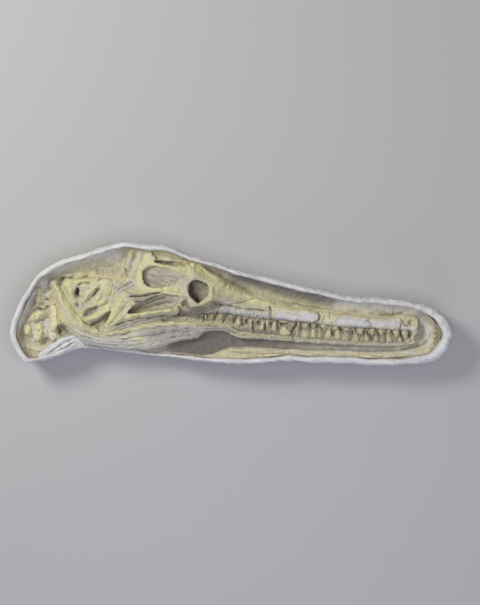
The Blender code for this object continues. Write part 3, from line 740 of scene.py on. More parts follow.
# %% The ground
LEFT_STANDING = {
    "arm": (90, 1, (50, 276), (60, 306), (64, 330)),
    "back_of_skull": (90, 1, (70, 276), (100, 274), (122, 268), (118, 300), (102, 324)),
    "roof": (60, 1.9, (128, 246), (170, 250), (200, 260), (216, 270)),
    "snout_root": (40, 0.7, (222, 278), (236, 286), (252, 293)),
    "snout_top": (44, 0.75, (256, 295), (300, 305), (340, 311), (400, 315)),
    "neck": (60, 0.5, (26, 330), (38, 300), (46, 318), (34, 336)),
}
STANDING_RISE = 15.0
TOOTH_BAND = [
    (197, 315), (216, 313), (240, 316), (270, 319.4), (300, 322.4), (340, 327.4), (380, 329.4), (404, 330.6),
    (412, 334), (413, 340), (408, 343.4), (380, 343.8), (340, 342), (300, 338.4), (270, 335.6), (244, 332.6),
    (228, 325.6), (212, 322.8), (197, 322.6), (184, 322.2), (172, 322.4), (150, 322.6), (150, 320.4),
    (172, 316.6), (184, 316.4),
]
TOOTH_GROUND = 72.0


def band(width, strength, *pixels):
    """strength * exp(-(distance / half width)^2) along a line, over the whole plan."""
    away, _ = distance(smooth_line(on_plan(pixels), step=6), 1.5 * width)
    return strength * np.exp(-((away / (width / 2)) ** 2))


def patch(pixels, soft):
    """A share from 0 to 1 that fades over `soft` millimetres at an outline."""
    return eased(depth_of(pixels, soft) / soft + 0.5)


def along_skull(table):
    """A table of x places and values, read over the plan."""
    return np.interp(X, *zip(*table))


spine_y = along_skull(TRAY_SPINE)
above_spine = eased((Y - spine_y) / 60 + 0.5)


def beside(table):
    """A wall-side table, blended from the lower side to the upper one across the spine."""
    high, low = (along_skull(table[part]) for part in ("upper", "lower"))
    return high * above_spine + low * (1 - above_spine)


share = np.clip(1 - np.maximum(wall_depth, 0) / beside(BANK_WIDTH), 0, 1)
hollow_bank = 0.3 * share + 0.7 * share**2
terrace = eased(share / 0.2) * (0.7 + 0.3 * share)
upper_side = np.maximum(above_spine, eased((-380 - X) / 60))
on_terrace = eased((share - 0.08) / 0.1) * (1 - upper_side) * eased((X + 75) / 25)
in_trough = (1 - eased(share / 0.1)) * eased(1 - 1.6 * upper_side)
in_trough = in_trough * eased((X + 185) / 50) * eased((455 - X) / 50)
ground = Relief(ROCK_LEVEL)
ground.height += beside(BANK_RISE) * (hollow_bank * upper_side + terrace * (1 - upper_side))
neck_all = np.maximum.reduce(list(neck_depth.values()))
all_bone = (np.maximum(skull_depth, neck_all) > 0).astype(float)
standing = np.maximum.reduce([band(*row) for row in LEFT_STANDING.values()])
standing_rise = STANDING_RISE * standing * eased(2 * blurred(all_bone, 8))
ground.height = np.maximum(ground.height, ROCK_LEVEL + standing_rise)
tooth_band = patch(TOOTH_BAND, 5)
ground.height += (TOOTH_GROUND - ground.height) * tooth_band
ground.report("ground")

# %% [markdown]
# The features of the ground. In the lobe behind the skull lie pits, stumps and a ledge. The
# trough below the jaw was cut with a gouge, and its lip is crisp. Inside the openings of the
# skull the rock was taken down to different depths, deepest in the eye socket.

# %% Features of the ground
marks(
    ground,
    ledge=(8, 9, (60, 275.4), (72, 275), (84, 274.4), (98, 273.6)),
    ledge_shade=(8, -5, (58, 279.6), (74, 277.8), (92, 277)),
    bank_fold=(12, 3, (93, 254), (95, 262), (92, 270)),
    bank_fold_2=(12, 2.5, (106, 253), (108, 260), (106, 267)),
    rod_foot=(14, 6, (36.4, 296), (36.8, 302), (38, 307)),
    rod_spread=(10, 8, (30, 308.6), (37.6, 306.4), (45, 308.4)),
    arch_shadow=(6, -5.5, (30.6, 311.6), (38, 309.8), (45, 310.6)),
    arch_shadow_low=(6, -5, (27, 324), (36, 323.6), (45.6, 318)),
    stump_gap=(8, -4, (31.6, 326), (32, 334), (31, 341)),
    stump_side=(8, -3.5, (43, 320), (43.6, 330), (42, 338)),
    shelf=(12, 6, (21, 341), (27, 347), (36, 351), (47, 351)),
    shelf_rise=(14, 6, (42, 329), (48, 336), (54, 342)),
    block=(22, 8, (45, 292), (49, 298), (52, 306)),
    block_cleft=(5, -6, (44, 299.6), (49, 301.4), (50, 304)),
    block_cleft_2=(5, -5, (45, 306), (48.4, 309), (48.6, 316)),
    left_groove=(9, -4, (19, 340), (17, 328), (22, 310), (30, 294), (42, 280)),
    trough=(20, -3, (196, 344), (214, 340), (236, 343), (262, 345.4), (300, 347), (340, 349.2), (380, 350.2),
            (402, 349.6)),
    trough_tip=(16, -2, (400, 349.6), (415, 345.6), (422.6, 338), (425.4, 328), (423, 319)),
    notch=(8, -4.4, (219, 274.6), (223, 278.6), (230, 282.4), (240, 287), (249, 291)),
    knob=(9, 5, (220, 281), (224, 283.4), (227, 286.4)),
    snout_line=(3.4, -2, (276, 300.6), (284, 303), (300, 305.2), (320, 308.2), (350, 312.4), (380, 315)),
    olive_undercut=(5, -5, (381, 315.4), (388, 316.2), (396, 316), (402, 315)),
    wall_crack=(3, -4, (394.4, 306), (393.4, 310), (394.6, 316)),
    bank_step=(6, 2.5, (331, 296), (336.6, 302), (339, 309)),
    rough_lip=(10, 4, (436, 319), (439.4, 328), (439, 341), (434.4, 350)),
    rough_groove=(5, -3.5, (437, 322), (438.4, 330), (437.6, 340), (434, 347)),
    tip_line=(5, -3, (419.8, 316), (420.6, 323), (419.8, 330), (417, 337), (414, 342)),
    terrace_line=(3, -1.6, (228, 353.4), (240, 352.8), (252, 352.6), (262, 352.2)),
    terrace_line_2=(3, -1.4, (232, 356), (250, 355), (276, 354.6)),
)
ground.hollow((63.4, 282.4), (17, 11), 8, -9)
ground.hollow((62.4, 331), (17, 17), 0, -8)
marks(ground, pit_crescent=(6, -7, (57, 325.6), (57.2, 331), (59.4, 336.4), (65, 338.6), (69, 337)))
ground.hollow((44.4, 342.8), (17, 11), 25, -8, level_share=0.35)
FLOORS = {
    "upper_temple": [(145, 278, 84), (181, 276, 98), (160, 286, 86)],
    "cheek": [(131, 311, 76), (176, 297, 92), (165, 307, 85)],
    "orbit": [(190, 290, 62), (207, 290, 64), (198, 301, 62)],
    "far_slit": [(156, 261, 82), (184, 264, 88), (170, 265, 85)],
    "foramen": [(183, 303, 91), (187, 300, 94), (185, 305, 90)],
}
for name, places in FLOORS.items():
    ground.settle(OPENINGS[name], places)
marks(
    ground,
    temple_ridge=(7, 3, (147, 271), (158, 274), (170, 278), (177, 281)),
    temple_groove=(5, -2.5, (150, 276), (160, 279.6), (169, 283)),
    temple_line=(4, 2, (158, 269.6), (168, 273.6), (178, 276)),
    cheek_ridge=(8, 3, (140, 309), (152, 303.4), (164, 300), (174, 298.6)),
    cheek_line=(4, -3, (150, 307.6), (162, 304), (172, 302.4)),
    cheek_line_2=(4, -3, (146, 303), (156, 299.6), (166, 297)),
    socket_ridge=(6, 2.5, (196, 283), (199, 290), (200, 297)),
)
TOOTH_SLOTS = [
    ((204, 317), (204.4, 321.4), 4), ((207, 314.6), (207.4, 321.2), 4.5),
    ((217.4, 312.4), (213.6, 321.4), 4.5), ((226.2, 316.6), (223.4, 321.8), 5),
    ((236, 317.6), (233.6, 323.4), 5), ((241.4, 318.2), (242.8, 326.6), 5),
    ((246.8, 319.8), (247, 323.6), 9), ((252.6, 321), (253.8, 331.6), 4.5), ((257.4, 322), (259, 325.4), 10),
    ((265.8, 324.6), (264.4, 331), 4.5), ((271.6, 322.6), (271.6, 327), 7),
    ((278, 321.4), (278.2, 331), 4.5), ((280.6, 324.4), (288, 324.2), 8), ((295, 325), (291.6, 335.6), 4),
    ((296, 322.8), (296.2, 325.6), 5), ((300.6, 325), (301.8, 331.6), 5),
    ((310.2, 324), (310.4, 329.6), 4.5), ((317, 325), (317.4, 328.6), 5), ((320.4, 326), (322.4, 330.6), 4),
    ((331.6, 331.6), (334, 335.6), 7), ((339.6, 327.4), (342, 331.8), 5), ((352.8, 331), (353, 335), 4),
    ((355.6, 329), (360, 335.4), 4.5), ((364.6, 331), (364.4, 335), 4), ((366.8, 331.2), (370.6, 337), 5),
    ((371, 337), (371.4, 342), 4), ((375, 330), (373, 341), 4), ((377, 330.6), (380.4, 336.4), 5),
    ((387.4, 330.6), (384.8, 335.4), 5), ((391.6, 330), (394.6, 335.8), 4.5),
    ((397.6, 333.6), (397.4, 339), 4), ((400.6, 330.8), (404, 341.4), 5), ((409.6, 333.4), (410, 338), 9),
]
for start, end, width in TOOTH_SLOTS:
    ground.stroke([start, end], width, -6)
print("slots between the teeth:", len(TOOTH_SLOTS))

# %% [markdown]
# How high each bone stands. A bone swells from a low edge to its crest like a quarter ellipse,
# and the crest changes along the skull: highest at the temple, lowest at the tip of the snout.
# Where bones touch, a bridge keeps the valley between them shallow.

# %% Swelling
UPPER_CREST = [
    (-330, 29), (-290, 32), (-240, 36), (-150, 39), (-80, 37), (-30, 31), (0, 27), (120, 25), (300, 22),
    (411, 20), (475, 15),
]
UPPER_SWELL = [(-330, 22), (-240, 30), (-130, 34), (-40, 26), (10, 15), (200, 12), (475, 10)]
JAW_CREST = [
    (-455, 22), (-420, 29), (-365, 34), (-300, 33), (-240, 29), (-150, 22), (-70, 17), (60, 15), (460, 14),
]
JAW_SWELL = [(-455, 11), (-400, 17), (-340, 22), (-240, 18), (-120, 13), (-40, 8), (60, 7), (460, 6)]
BRIDGE_CREST = [(-450, 17), (-380, 24), (-300, 27), (-200, 27), (-100, 22), (-40, 14), (60, 8), (475, 6)]
EDGE_HEIGHT = 4.0


def quarter_ellipse(top, share):
    """edge + (top - edge) * sqrt(1 - (1 - share)^2)."""
    return EDGE_HEIGHT + (top - EDGE_HEIGHT) * np.sqrt(1 - (1 - np.clip(share, 0, 1)) ** 2)


def rounded_edge(depth, radius):
    """How far a surface drops near a broken edge: radius - sqrt(radius^2 - (radius - depth)^2)."""
    near = np.clip(radius - depth, 0, radius)
    return radius - np.sqrt(radius**2 - near**2)


closed = blurred((skull_depth > 0).astype(float), 9)
dome = np.maximum.reduce([
    quarter_ellipse(along_skull(UPPER_CREST), upper_depth / along_skull(UPPER_SWELL)),
    quarter_ellipse(along_skull(JAW_CREST), jaw_depth / along_skull(JAW_SWELL)),
    quarter_ellipse(28, brain_depth / 20),
])
bridge = quarter_ellipse(along_skull(BRIDGE_CREST), 2 * closed - 1)
skull = Relief(BONE_LEVEL)
skull.height += blurred(np.maximum(dome, np.maximum(bridge, EDGE_HEIGHT)), 2)
skull.report("swelling")

# %% [markdown]
# The marks on the upper skull, bone by bone, in the order in which the eye finds them: the horn
# at the back of the roof, the bars between the openings, the cheek with its splinters, the rim
# of the eye, and along the snout the broken plates with cracks between them.

# %% Marks of the upper skull
# Grooves of the upper skull get a grey painted shade.
marks(
    skull, soil=0.55,
    horn_ridge=(8, 5, (131.4, 249.6), (129.4, 256), (127.4, 262), (125, 268)),
    horn_foot=(10, 4, (128.6, 272), (124, 278), (119, 283)),
    horn_groove=(10, -6, (137, 250.6), (135.4, 256), (133.4, 262), (130.8, 268.4)),
    horn_step=(9, 4, (141.6, 250.6), (140, 258), (137.6, 265), (134.4, 272)),
    far_bar=(6, 2.5, (153, 256.6), (165, 257), (176, 258.4), (187, 261)),
    table_bar=(6, 3, (145, 264), (156, 264.6), (168, 266.2), (179, 268), (189, 270)),
    roof_edge=(9, 1.5, (194, 260.6), (199, 266.4), (205, 272.4), (212, 277), (219, 281)),
    roof_fold=(5, -2.5, (187, 262.4), (190.6, 265), (192.6, 269)),
    lower_temple_bar=(10, 4, (137, 288.6), (147, 289.4), (160, 289), (171, 288.6), (181, 290.5)),
    splinter_1=(4.5, 4, (160, 289.6), (148, 291.6), (138, 292.8), (127, 292)),
    splinter_2=(5, 5, (161, 293), (151, 296), (141, 298.4), (131, 299.6)),
    splinter_3=(4.5, 4, (158, 297), (148, 300), (138, 303), (130, 306)),
    splinter_gap_1=(3.4, -8, (162, 291.4), (150, 293.8), (139, 295.6), (128, 296)),
    splinter_gap_2=(3.4, -7, (160, 295), (150, 298), (142, 300.8), (134, 302.6)),
    lilac_crack_1=(2.4, -3.5, (117, 291), (123, 287), (129, 284), (134, 281.6)),
    lilac_crack_2=(2.4, -3, (121, 293), (128, 288.4), (136, 285)),
    lilac_crack_3=(2.2, -2.5, (119, 287), (126, 283.6), (131, 281)),
    lilac_crack_4=(2.4, -3, (125, 284), (130, 287.6), (136, 290)),
    lilac_crack_5=(2.4, -2.5, (123, 289), (130, 291.6), (140, 292)),
    quadrate_ridge=(12, 5, (124, 297), (118.6, 306), (113, 315), (107, 325)),
    quadrate_groove=(5, -3.6, (128.6, 301), (123, 309), (115, 318), (109.4, 326)),
    quadrate_strand=(7, 3, (131, 304.6), (126.6, 312), (118.6, 319), (111, 327)),
    quadrate_hairline=(3, -2, (121, 301), (116.6, 308), (113, 311)),
    cheek_tube=(12, 7, (115, 321), (126, 316.4), (147, 313), (163, 310.8), (176, 309.2)),
    cheek_gap=(4.6, -5, (113, 326), (128, 320.8), (150, 317.2), (170, 315.6), (180, 314)),
    cheek_strand=(6, 2, (112, 328.6), (134, 322.6), (155, 319.2), (178, 317), (192, 317)),
    cheek_hairline=(2.8, -2.5, (118, 327), (140, 321.4), (160, 318.4)),
    cheek_end=(4.4, -9, (178.2, 305), (181, 308.6), (180.6, 312.6), (176, 315)),
    eye_rim_low=(8, 5, (211, 285), (212.6, 291), (211, 297), (206.4, 302.4), (199.6, 305.4), (193, 304.4)),
    eye_rim_high=(7, 3, (186.6, 291), (186.8, 284.4), (190.6, 279), (197, 276.6), (204, 277.8), (208, 281)),
    strut_left=(6, 3, (179.4, 299), (179.2, 303), (180.6, 307.6)),
    strut_right=(6, 1.5, (190.4, 297), (191.4, 302.6), (190, 307)),
    foramen_spill=(11, -4.5, (184.6, 302.4), (187.4, 305.2), (189.6, 308)),
    foramen_brow=(5, -3, (181, 297.4), (185, 296.6), (189, 297.6)),
    socket_shadow=(12, -3, (189.6, 310), (198, 308), (206, 304.6), (212, 300)),
    jugal_ridge=(5, 1.5, (182, 314.6), (194, 313), (206, 309.8), (214, 306)),
    jugal_hairline=(2.6, -2, (186, 316), (198, 314), (210, 311)),
    face_groove=(5, -5, (209.6, 300), (216, 303.4), (225, 304.6), (238, 307.2), (254, 309.6), (268, 310.8)),
    face_gouge=(6, -3, (213, 297), (217, 303), (218.6, 309)),
    face_strand=(5, 3, (208, 305), (214, 308), (222, 309.6)),
    face_notch=(5, -7, (220.4, 303.4), (219.6, 308), (216.4, 313)),
    olive_line=(3.4, -3.5, (229, 303.6), (236, 303.4), (243, 301.6), (250, 299), (258, 297.6)),
    break_1=(4.4, -6, (269.6, 305.4), (270.6, 310), (270.4, 314), (271.8, 320.4)),
    plate_end_line=(4.4, -5, (317.8, 309.6), (319.8, 315), (319.2, 319.6), (315.4, 323), (308, 324.4)),
    gap_crack_1=(3.6, -3, (322, 311.6), (325, 316), (322.6, 321), (325, 325.6)),
    gap_crack_2=(4, -3.5, (331, 311), (330, 317.6), (332, 322), (330.4, 326.6)),
    plate_b_edge=(4, 3, (332.6, 321.6), (335.6, 318), (339.6, 314)),
    break_2=(4, -4, (372, 316), (368.6, 320.4), (371.4, 323.6), (370.6, 329)),
    break_2_branch=(3, -2.5, (370.4, 317.6), (366.4, 321), (363.4, 325.4)),
    break_3=(3.6, -3.5, (399.8, 317), (401.6, 321.6), (400.4, 326), (401, 331)),
    nostril_lip=(4.5, 3, (417, 318.6), (418, 323), (416.8, 328), (412, 330)),
    nostril_plate=(7, 2.5, (403.4, 319.6), (406, 322), (408, 324)),
    nostril_shade=(3, -4, (402.6, 320), (404.6, 324.6), (409.6, 327)),
    tip_fold=(5, 3, (412, 330), (414.6, 333.6), (413.6, 338)),
    under_eye_1=(3, -1.5, (192, 308), (200, 306), (208, 302.4)),
    under_eye_2=(3, -1.5, (196, 311.6), (206, 308.6), (214, 304.6)),
    under_eye_3=(3, -1.5, (205, 312), (212, 309), (218, 307)),
    under_eye_4=(3, -1.5, (201, 304.8), (208, 300.8), (212, 296.6)),
)
ROOTS = [
    ((222.6, 309.6), (221.8, 314.6)), ((229.4, 309.4), (228.6, 315)), ((236, 310.6), (235.4, 316.4)),
    ((243.4, 311.6), (243, 317)), ((250.4, 313), (250, 318)), ((257.4, 314), (257, 319)),
    ((263.8, 315), (263.6, 319)),
]
# The root grooves get a grey painted shade.
marks(skull, soil=0.55, **{f"root_{k}": (4, -2.5, *ends) for k, ends in enumerate(ROOTS)})
# Each plate is a slip of bleached bone that broke and stayed a little proud of the rest.
PLATE_ROUGH = [
    (219.4, 306.6), (226, 306.2), (240, 309), (255, 311), (268.8, 312), (269, 318), (262, 319), (250, 317.6),
    (240, 316.6), (231, 314.8), (222, 314), (218.4, 312),
]
PLATE_LONG = [
    (273.2, 308), (285, 309), (296, 309.4), (308, 309.8), (314.6, 311.2), (317.4, 314), (317.6, 317.4),
    (315.4, 320.6), (311, 322.6), (303, 323.2), (294, 322.4), (284, 321.2), (273.6, 319.8),
]
PLATE_FRONT = [
    (333.4, 321), (336, 317.6), (339.6, 314.4), (350, 315), (362, 316.6), (370, 318.2), (367.8, 321.6),
    (369.8, 325.4), (369, 328.4), (355, 328.4), (340, 327.8), (333.6, 325.8),
]
PLATE_TIP = [
    (373.4, 319), (385, 318.8), (398.6, 318.2), (399.8, 322), (398.8, 328.4), (390, 330), (378, 329.6),
    (373, 326.6),
]
for outline, rise in ((PLATE_ROUGH, 1.4), (PLATE_LONG, 2.6), (PLATE_FRONT, 2.4), (PLATE_TIP, 1.4)):
    skull.plate(outline, rise, 5)
skull.hollow((150.4, 254), (14, 9), 24, 1.8)
skull.hollow((193, 264), (8, 12), -30, 3)
skull.hollow((223, 284), (8, 6), 20, 3.5)
skull.hollow((126.8, 271.6), (5, 9), -20, -4)
skull.hollow((411.2, 322.4), (8, 8), 4, -5.5)
for spot in ((154, 253.4), (157.4, 257.4)):
    skull.hollow(spot, (5, 3.4), 50, -5)

# %% [markdown]
# The lower jaw: a diagonal arm at the back, a deep striated blade, and the long thin strip that
# carries the teeth. A crisp line parts the arm from the hollow beside it.

# %% Marks of the lower jaw
# Grooves of the lower jaw get a full grey painted shade.
marks(
    skull, strength=0.48, soil=1.0,
    arm_keel=(30, 7, (55, 284), (61.6, 297), (68.6, 309), (76, 319), (87, 326)),
    arm_edge=(4, -12, (57.8, 282), (67.6, 298.4), (76.4, 311.4), (80.6, 317.4)),
    ledge=(12, 16, (80, 320.6), (88, 325), (97, 328.6), (105, 332)),
    ledge_knob=(8, 8, (98.6, 325), (101, 327), (103, 329)),
    ledge_notch=(4, -9, (103.6, 325.4), (104.6, 328.6)),
    ledge_line=(5, -6, (84, 329.4), (95, 333.4), (108, 335.6), (124, 334.6)),
    sweep_1=(4.4, -7, (65, 325), (73, 331.4), (84, 336.6), (100, 340.6), (126, 342.6)),
    sweep_2=(4, -6, (68, 330.6), (77, 337), (92, 342.8), (118, 346.4)),
    sweep_3=(3.6, -5, (68, 322.4), (78, 328.6), (90, 333.4), (106, 338), (130, 339)),
    sweep_4=(3.6, -5, (73, 336), (83, 341.6), (98, 346), (114, 348.6)),
    sweep_ridge=(5, 4, (67, 328.4), (76, 334.2), (90, 339.8), (112, 343.2), (136, 343.6)),
    sweep_ridge_2=(5, 3, (71, 334.8), (81, 340), (96, 344.4), (114, 347.2)),
    top_rail=(6, 5, (104, 334.4), (113, 333), (130, 329.2), (150, 325.2), (170, 323), (192, 322.8)),
    cheek_contact=(4, -4, (106, 331.8), (122, 329), (148, 322.8), (164, 319.8), (176, 318.6), (192, 319.4)),
    rail_line=(4.4, -6, (110, 337), (128, 333), (148, 329), (166, 326.6), (186, 326.2)),
    blade_line_1=(4, -6, (116, 340.6), (136, 337), (154, 335.8), (168, 332.4), (182, 331)),
    blade_line_2=(4, -5, (126, 347), (144, 343.2), (160, 339.8), (178, 336)),
    blade_line_3=(3.6, -5, (148, 349), (160, 345.4), (172, 341)),
    blade_strand=(6, 3, (120, 338.4), (138, 334.4), (156, 332), (174, 329)),
    blade_strand_2=(7, 3, (136, 346), (152, 342), (168, 338.6)),
    blade_cross=(3.4, -4, (150, 329), (156, 333), (158, 338)),
    blade_cross_2=(3.4, -4, (132, 340), (139, 343), (142, 348)),
    flake_line=(4, -6, (182, 334.6), (188, 332), (195, 333), (200, 337)),
    flake_line_2=(3.4, -5, (174, 339.4), (184, 336.4), (193, 337.4)),
    flake_cross=(3.4, -4, (186, 328), (190, 333), (189, 339)),
    band_top=(5, 3, (190, 323), (208, 323.4), (224, 325.4), (234, 328.8)),
    band_groove=(5, -6, (204, 329.6), (212, 329.2), (218, 329), (227, 330)),
    band_pinch=(4, -3, (208, 326), (213, 326.6), (217, 326)),
    step=(4, -5, (228, 330), (231, 332.6), (236, 334.6), (246, 335.4)),
    strip_line=(3.6, -3.5, (250, 335.4), (270, 337.2), (294, 339.6), (320, 341.6), (350, 343.4),
                (380, 344.6), (406, 344.6)),
    strip_crack=(4.4, -7, (294.6, 334), (293.6, 338), (294.6, 343)),
    strip_crack_2=(4, -5, (267.6, 333), (266.4, 337), (267.4, 341.6)),
    strip_pit=(4.4, -5, (252, 330.4), (253.6, 332.4)),
    strip_pits=(3.4, -4, (238, 331), (242.4, 330.6)),
    tip_groove=(3.4, -5, (408, 341.6), (406.4, 344.4), (407.4, 346.4)),
    fibre_1=(3, -4, (150, 327.6), (164, 330), (176, 334.4)),
    fibre_2=(3, -3, (158, 326.6), (172, 329.4), (184, 333)),
    fibre_3=(3, -4, (112, 345), (128, 341.4), (146, 339.4)),
    fibre_4=(3, -4, (100, 337.6), (116, 336), (132, 332)),
    fibre_5=(3, -4, (160, 343), (172, 337.6), (186, 335)),
    fibre_6=(3, -4, (164, 347), (178, 341), (192, 338.6), (202, 333)),
    fibre_7=(3, -4, (136, 349), (148, 346.6), (158, 342.4)),
    fibre_8=(3, -3, (176, 326), (184, 328.6), (196, 329)),
)

# %% [markdown]
# Behind the skull the braincase is broken into knobs and bars, with deep holes between them.

# %% Marks of the braincase
marks(
    skull, strength=0.8,
    knob_ridge=(13, 6, (68, 284), (71, 290.4), (72.6, 297), (76, 303.6)),
    knob_side=(5, -4, (64.6, 287), (67.6, 293.4), (71.4, 300)),
    bar=(8, 7, (83.4, 301.6), (88.6, 295), (93.6, 289.4), (99, 284.6)),
    bar_shade=(10, -10, (88.6, 300.6), (94, 293.8), (99.4, 287.6)),
    right_bar=(7, 5, (97, 302), (101, 294.6), (103.4, 288)),
    low_bar=(8, 9, (82, 322), (92, 318.4), (101.4, 313.8), (111, 308)),
    upper_lip=(6, 4, (69, 281.6), (78, 280.2), (87, 279.4), (97, 278.6)),
    upper_cleft=(5, -7, (78, 285), (84, 282.6), (91, 283)),
    cleft=(5, -7, (97.6, 281), (103, 277.8), (109, 277.8), (114, 281)),
    grey_groove=(12, -10, (78.6, 293.4), (76.8, 300), (77.8, 307.6)),
    link=(6, 5, (82, 288), (82.4, 296), (82, 304), (83.6, 310)),
    knuckle=(8, 5, (100, 303.4), (104, 301), (108.6, 297.6)),
    knuckle_line=(3.6, -6, (99.4, 306.4), (104.6, 304.6), (109.6, 301.6)),
    plate_side=(4.4, -3, (113.6, 284), (112.4, 290), (109.6, 297)),
    dish_lip=(5, 4, (82, 318.6), (84.6, 310.6), (92, 305.4), (99.6, 304)),
)
skull.plate([(103, 282), (109.6, 280.4), (113.4, 283), (112.2, 289.6), (108.6, 295), (103.8, 292.4)], 1.8, 8)
skull.hollow((77.6, 291.4), (6, 9), -8, -26, level_share=0.7)
skull.hollow((91, 311.2), (24, 10), 34, -10)
LOW_CAVITY = [
    (90.6, 324.6), (98, 320), (105.4, 315), (110.4, 311.4), (108.4, 317), (105.6, 322), (102, 324.6),
    (96, 325.6),
]
skull.plate(LOW_CAVITY, -20, 6)

# %% [markdown]
# The finer surface: a slow unevenness, a grain drawn out along the bones, thin broken lines, and
# a field of pits in front of the eye, where the real bone is sculptured. Along the margins that
# carry the teeth the bone is rougher and full of small holes.

# %% Fine surface of the bones
SCULPTURED = [
    (186, 268), (200, 268), (214, 279), (228, 286), (246, 293), (247, 302.6), (232, 303.4), (216, 300),
    (213, 290), (206, 279), (194, 275),
]
ARM_AND_SWEEP = [(48, 280), (60, 280), (80, 312), (90, 326), (70, 340), (56, 322)]
arm_share = patch(ARM_AND_SWEEP, 30)


def turned_on_arm(pattern, on_arm):
    """A pattern over the skull, replaced on the arm of the jaw by one that runs down it."""
    return pattern * (1 - arm_share) + on_arm * arm_share


lengthwise = turned_on_arm(crack_lines(8, 12, 7, -0.12), crack_lines(9, 13, 7, -1.05))
grain = turned_on_arm(ripple(5, 14, 5, -0.12), ripple(6, 15, 6, -1.05))
strands = turned_on_arm(ripple(6.5, 18, 11, -0.16), ripple(6.5, 19, 9, -0.75))
blade_share = np.clip(jaw_depth / 6, 0, 1) * eased((-60 - X) / 60)
pitting = eased((0.42 - pores(5.2, 5)) / 0.3)
TOOTH_MARGINS = [
    [(200, 313), (216, 312.4), (232, 312.6), (250, 315), (270, 317), (300, 320.4), (318, 322), (318, 326),
     (300, 324), (270, 321), (250, 319.4), (232, 316.4), (216, 315.6), (200, 317)],
    [(196, 323), (212, 322.4), (226, 324.6), (236, 329), (250, 331), (280, 334), (320, 338), (360, 340.4),
     (404, 341.4), (404, 345.6), (360, 344.6), (320, 342.4), (280, 340), (250, 338), (236, 335), (224, 329),
     (210, 326.4), (196, 326)],
]
margins = np.maximum.reduce([patch(outline, 5) for outline in TOOTH_MARGINS])
sculptured = patch(SCULPTURED, 14)
rough_plate = patch(PLATE_ROUGH, 6)
smooth_plates = (patch(plate, 6) for plate in (PLATE_LONG, PLATE_FRONT, PLATE_TIP))
plates = np.maximum.reduce([rough_plate, *smooth_plates])
skull.height += 0.8 * ripple(32, 10) + 0.28 * ripple(13, 11) + 0.07 * ripple(3, 16)
skull.height += 0.16 * grain * (1 - 0.5 * plates) + 0.2 * strands * blade_share
skull.height -= (0.5 + 0.4 * blade_share) * lengthwise * (1 - 0.6 * plates) * (1 - 0.4 * arm_share)
skull.height -= (0.65 * sculptured + 0.06) * pitting
skull.height += rough_plate * (0.6 * ripple(7, 17) - 0.5 * pitting)
skull.height += margins * (0.42 * ripple(6.5, 20) + 0.25 * ripple(3.4, 21) - 0.45 * pitting)
for start, end, width in TOOTH_SLOTS:
    skull.stroke([start, end], 0.9 * min(width, 6), -4, tapered=False)
skull.height -= rounded_edge(hole_depth, 3)
over_ground = ground.height + 1.4 * eased(np.maximum(skull_depth, 0) / 3)
in_hole = eased(-hole_depth / 2 + 0.5)
skull.height = np.maximum(skull.height, over_ground * (1 - in_hole) + skull.height * in_hole)
skull.report("skull")

# %% [markdown]
# The rock bed takes the ground, roughened where the blade skipped, and sinks beneath the bones.

# %% The rock bed
rock = Relief(0)
rock.height += ground.height + (0.8 * ripple(28, 61) + 0.35 * ripple(9, 62)) * (1 - 0.6 * in_trough)
rough_bank = patch([(93, 255), (112, 252), (117, 273), (95, 275)], 20)
tip_rough = patch([(433, 316), (445, 320), (445, 347), (435, 354), (434, 340), (435, 328)], 6)
lobe_rough = patch([(12, 322), (34, 284), (56, 280), (62, 330), (50, 354), (22, 356)], 20)
rock.height += (0.6 * rough_bank + 0.3 * lobe_rough + tip_rough) * ripple(8, 64)
rock.height += 0.7 * lobe_rough * ripple(19, 65)
rock.height -= 0.4 * pitting * (0.1 + 0.1 * rough_bank + 0.1 * lobe_rough + tip_rough)
rock.height += tooth_band * (0.9 * ripple(7, 66) + 0.5 * ripple(3.6, 67))
filled = BONE_LEVEL + bridge - 1.2
rock.height = np.where((closed > 0.62) & (hole_depth > 1.0), np.maximum(rock.height, filled), rock.height)
covered = np.maximum.reduce([bone_depth, jaw_depth, brain_depth, neck_all])
bared = np.minimum(rock.height, skull.height - 0.6)
rock.height = np.where(covered > -0.6, bared, rock.height) - 14 * eased((covered - 0.8) / 2)
rock.height = np.where(covered > 3, BONE_LEVEL - 4, rock.height)
rock.report("rock bed")
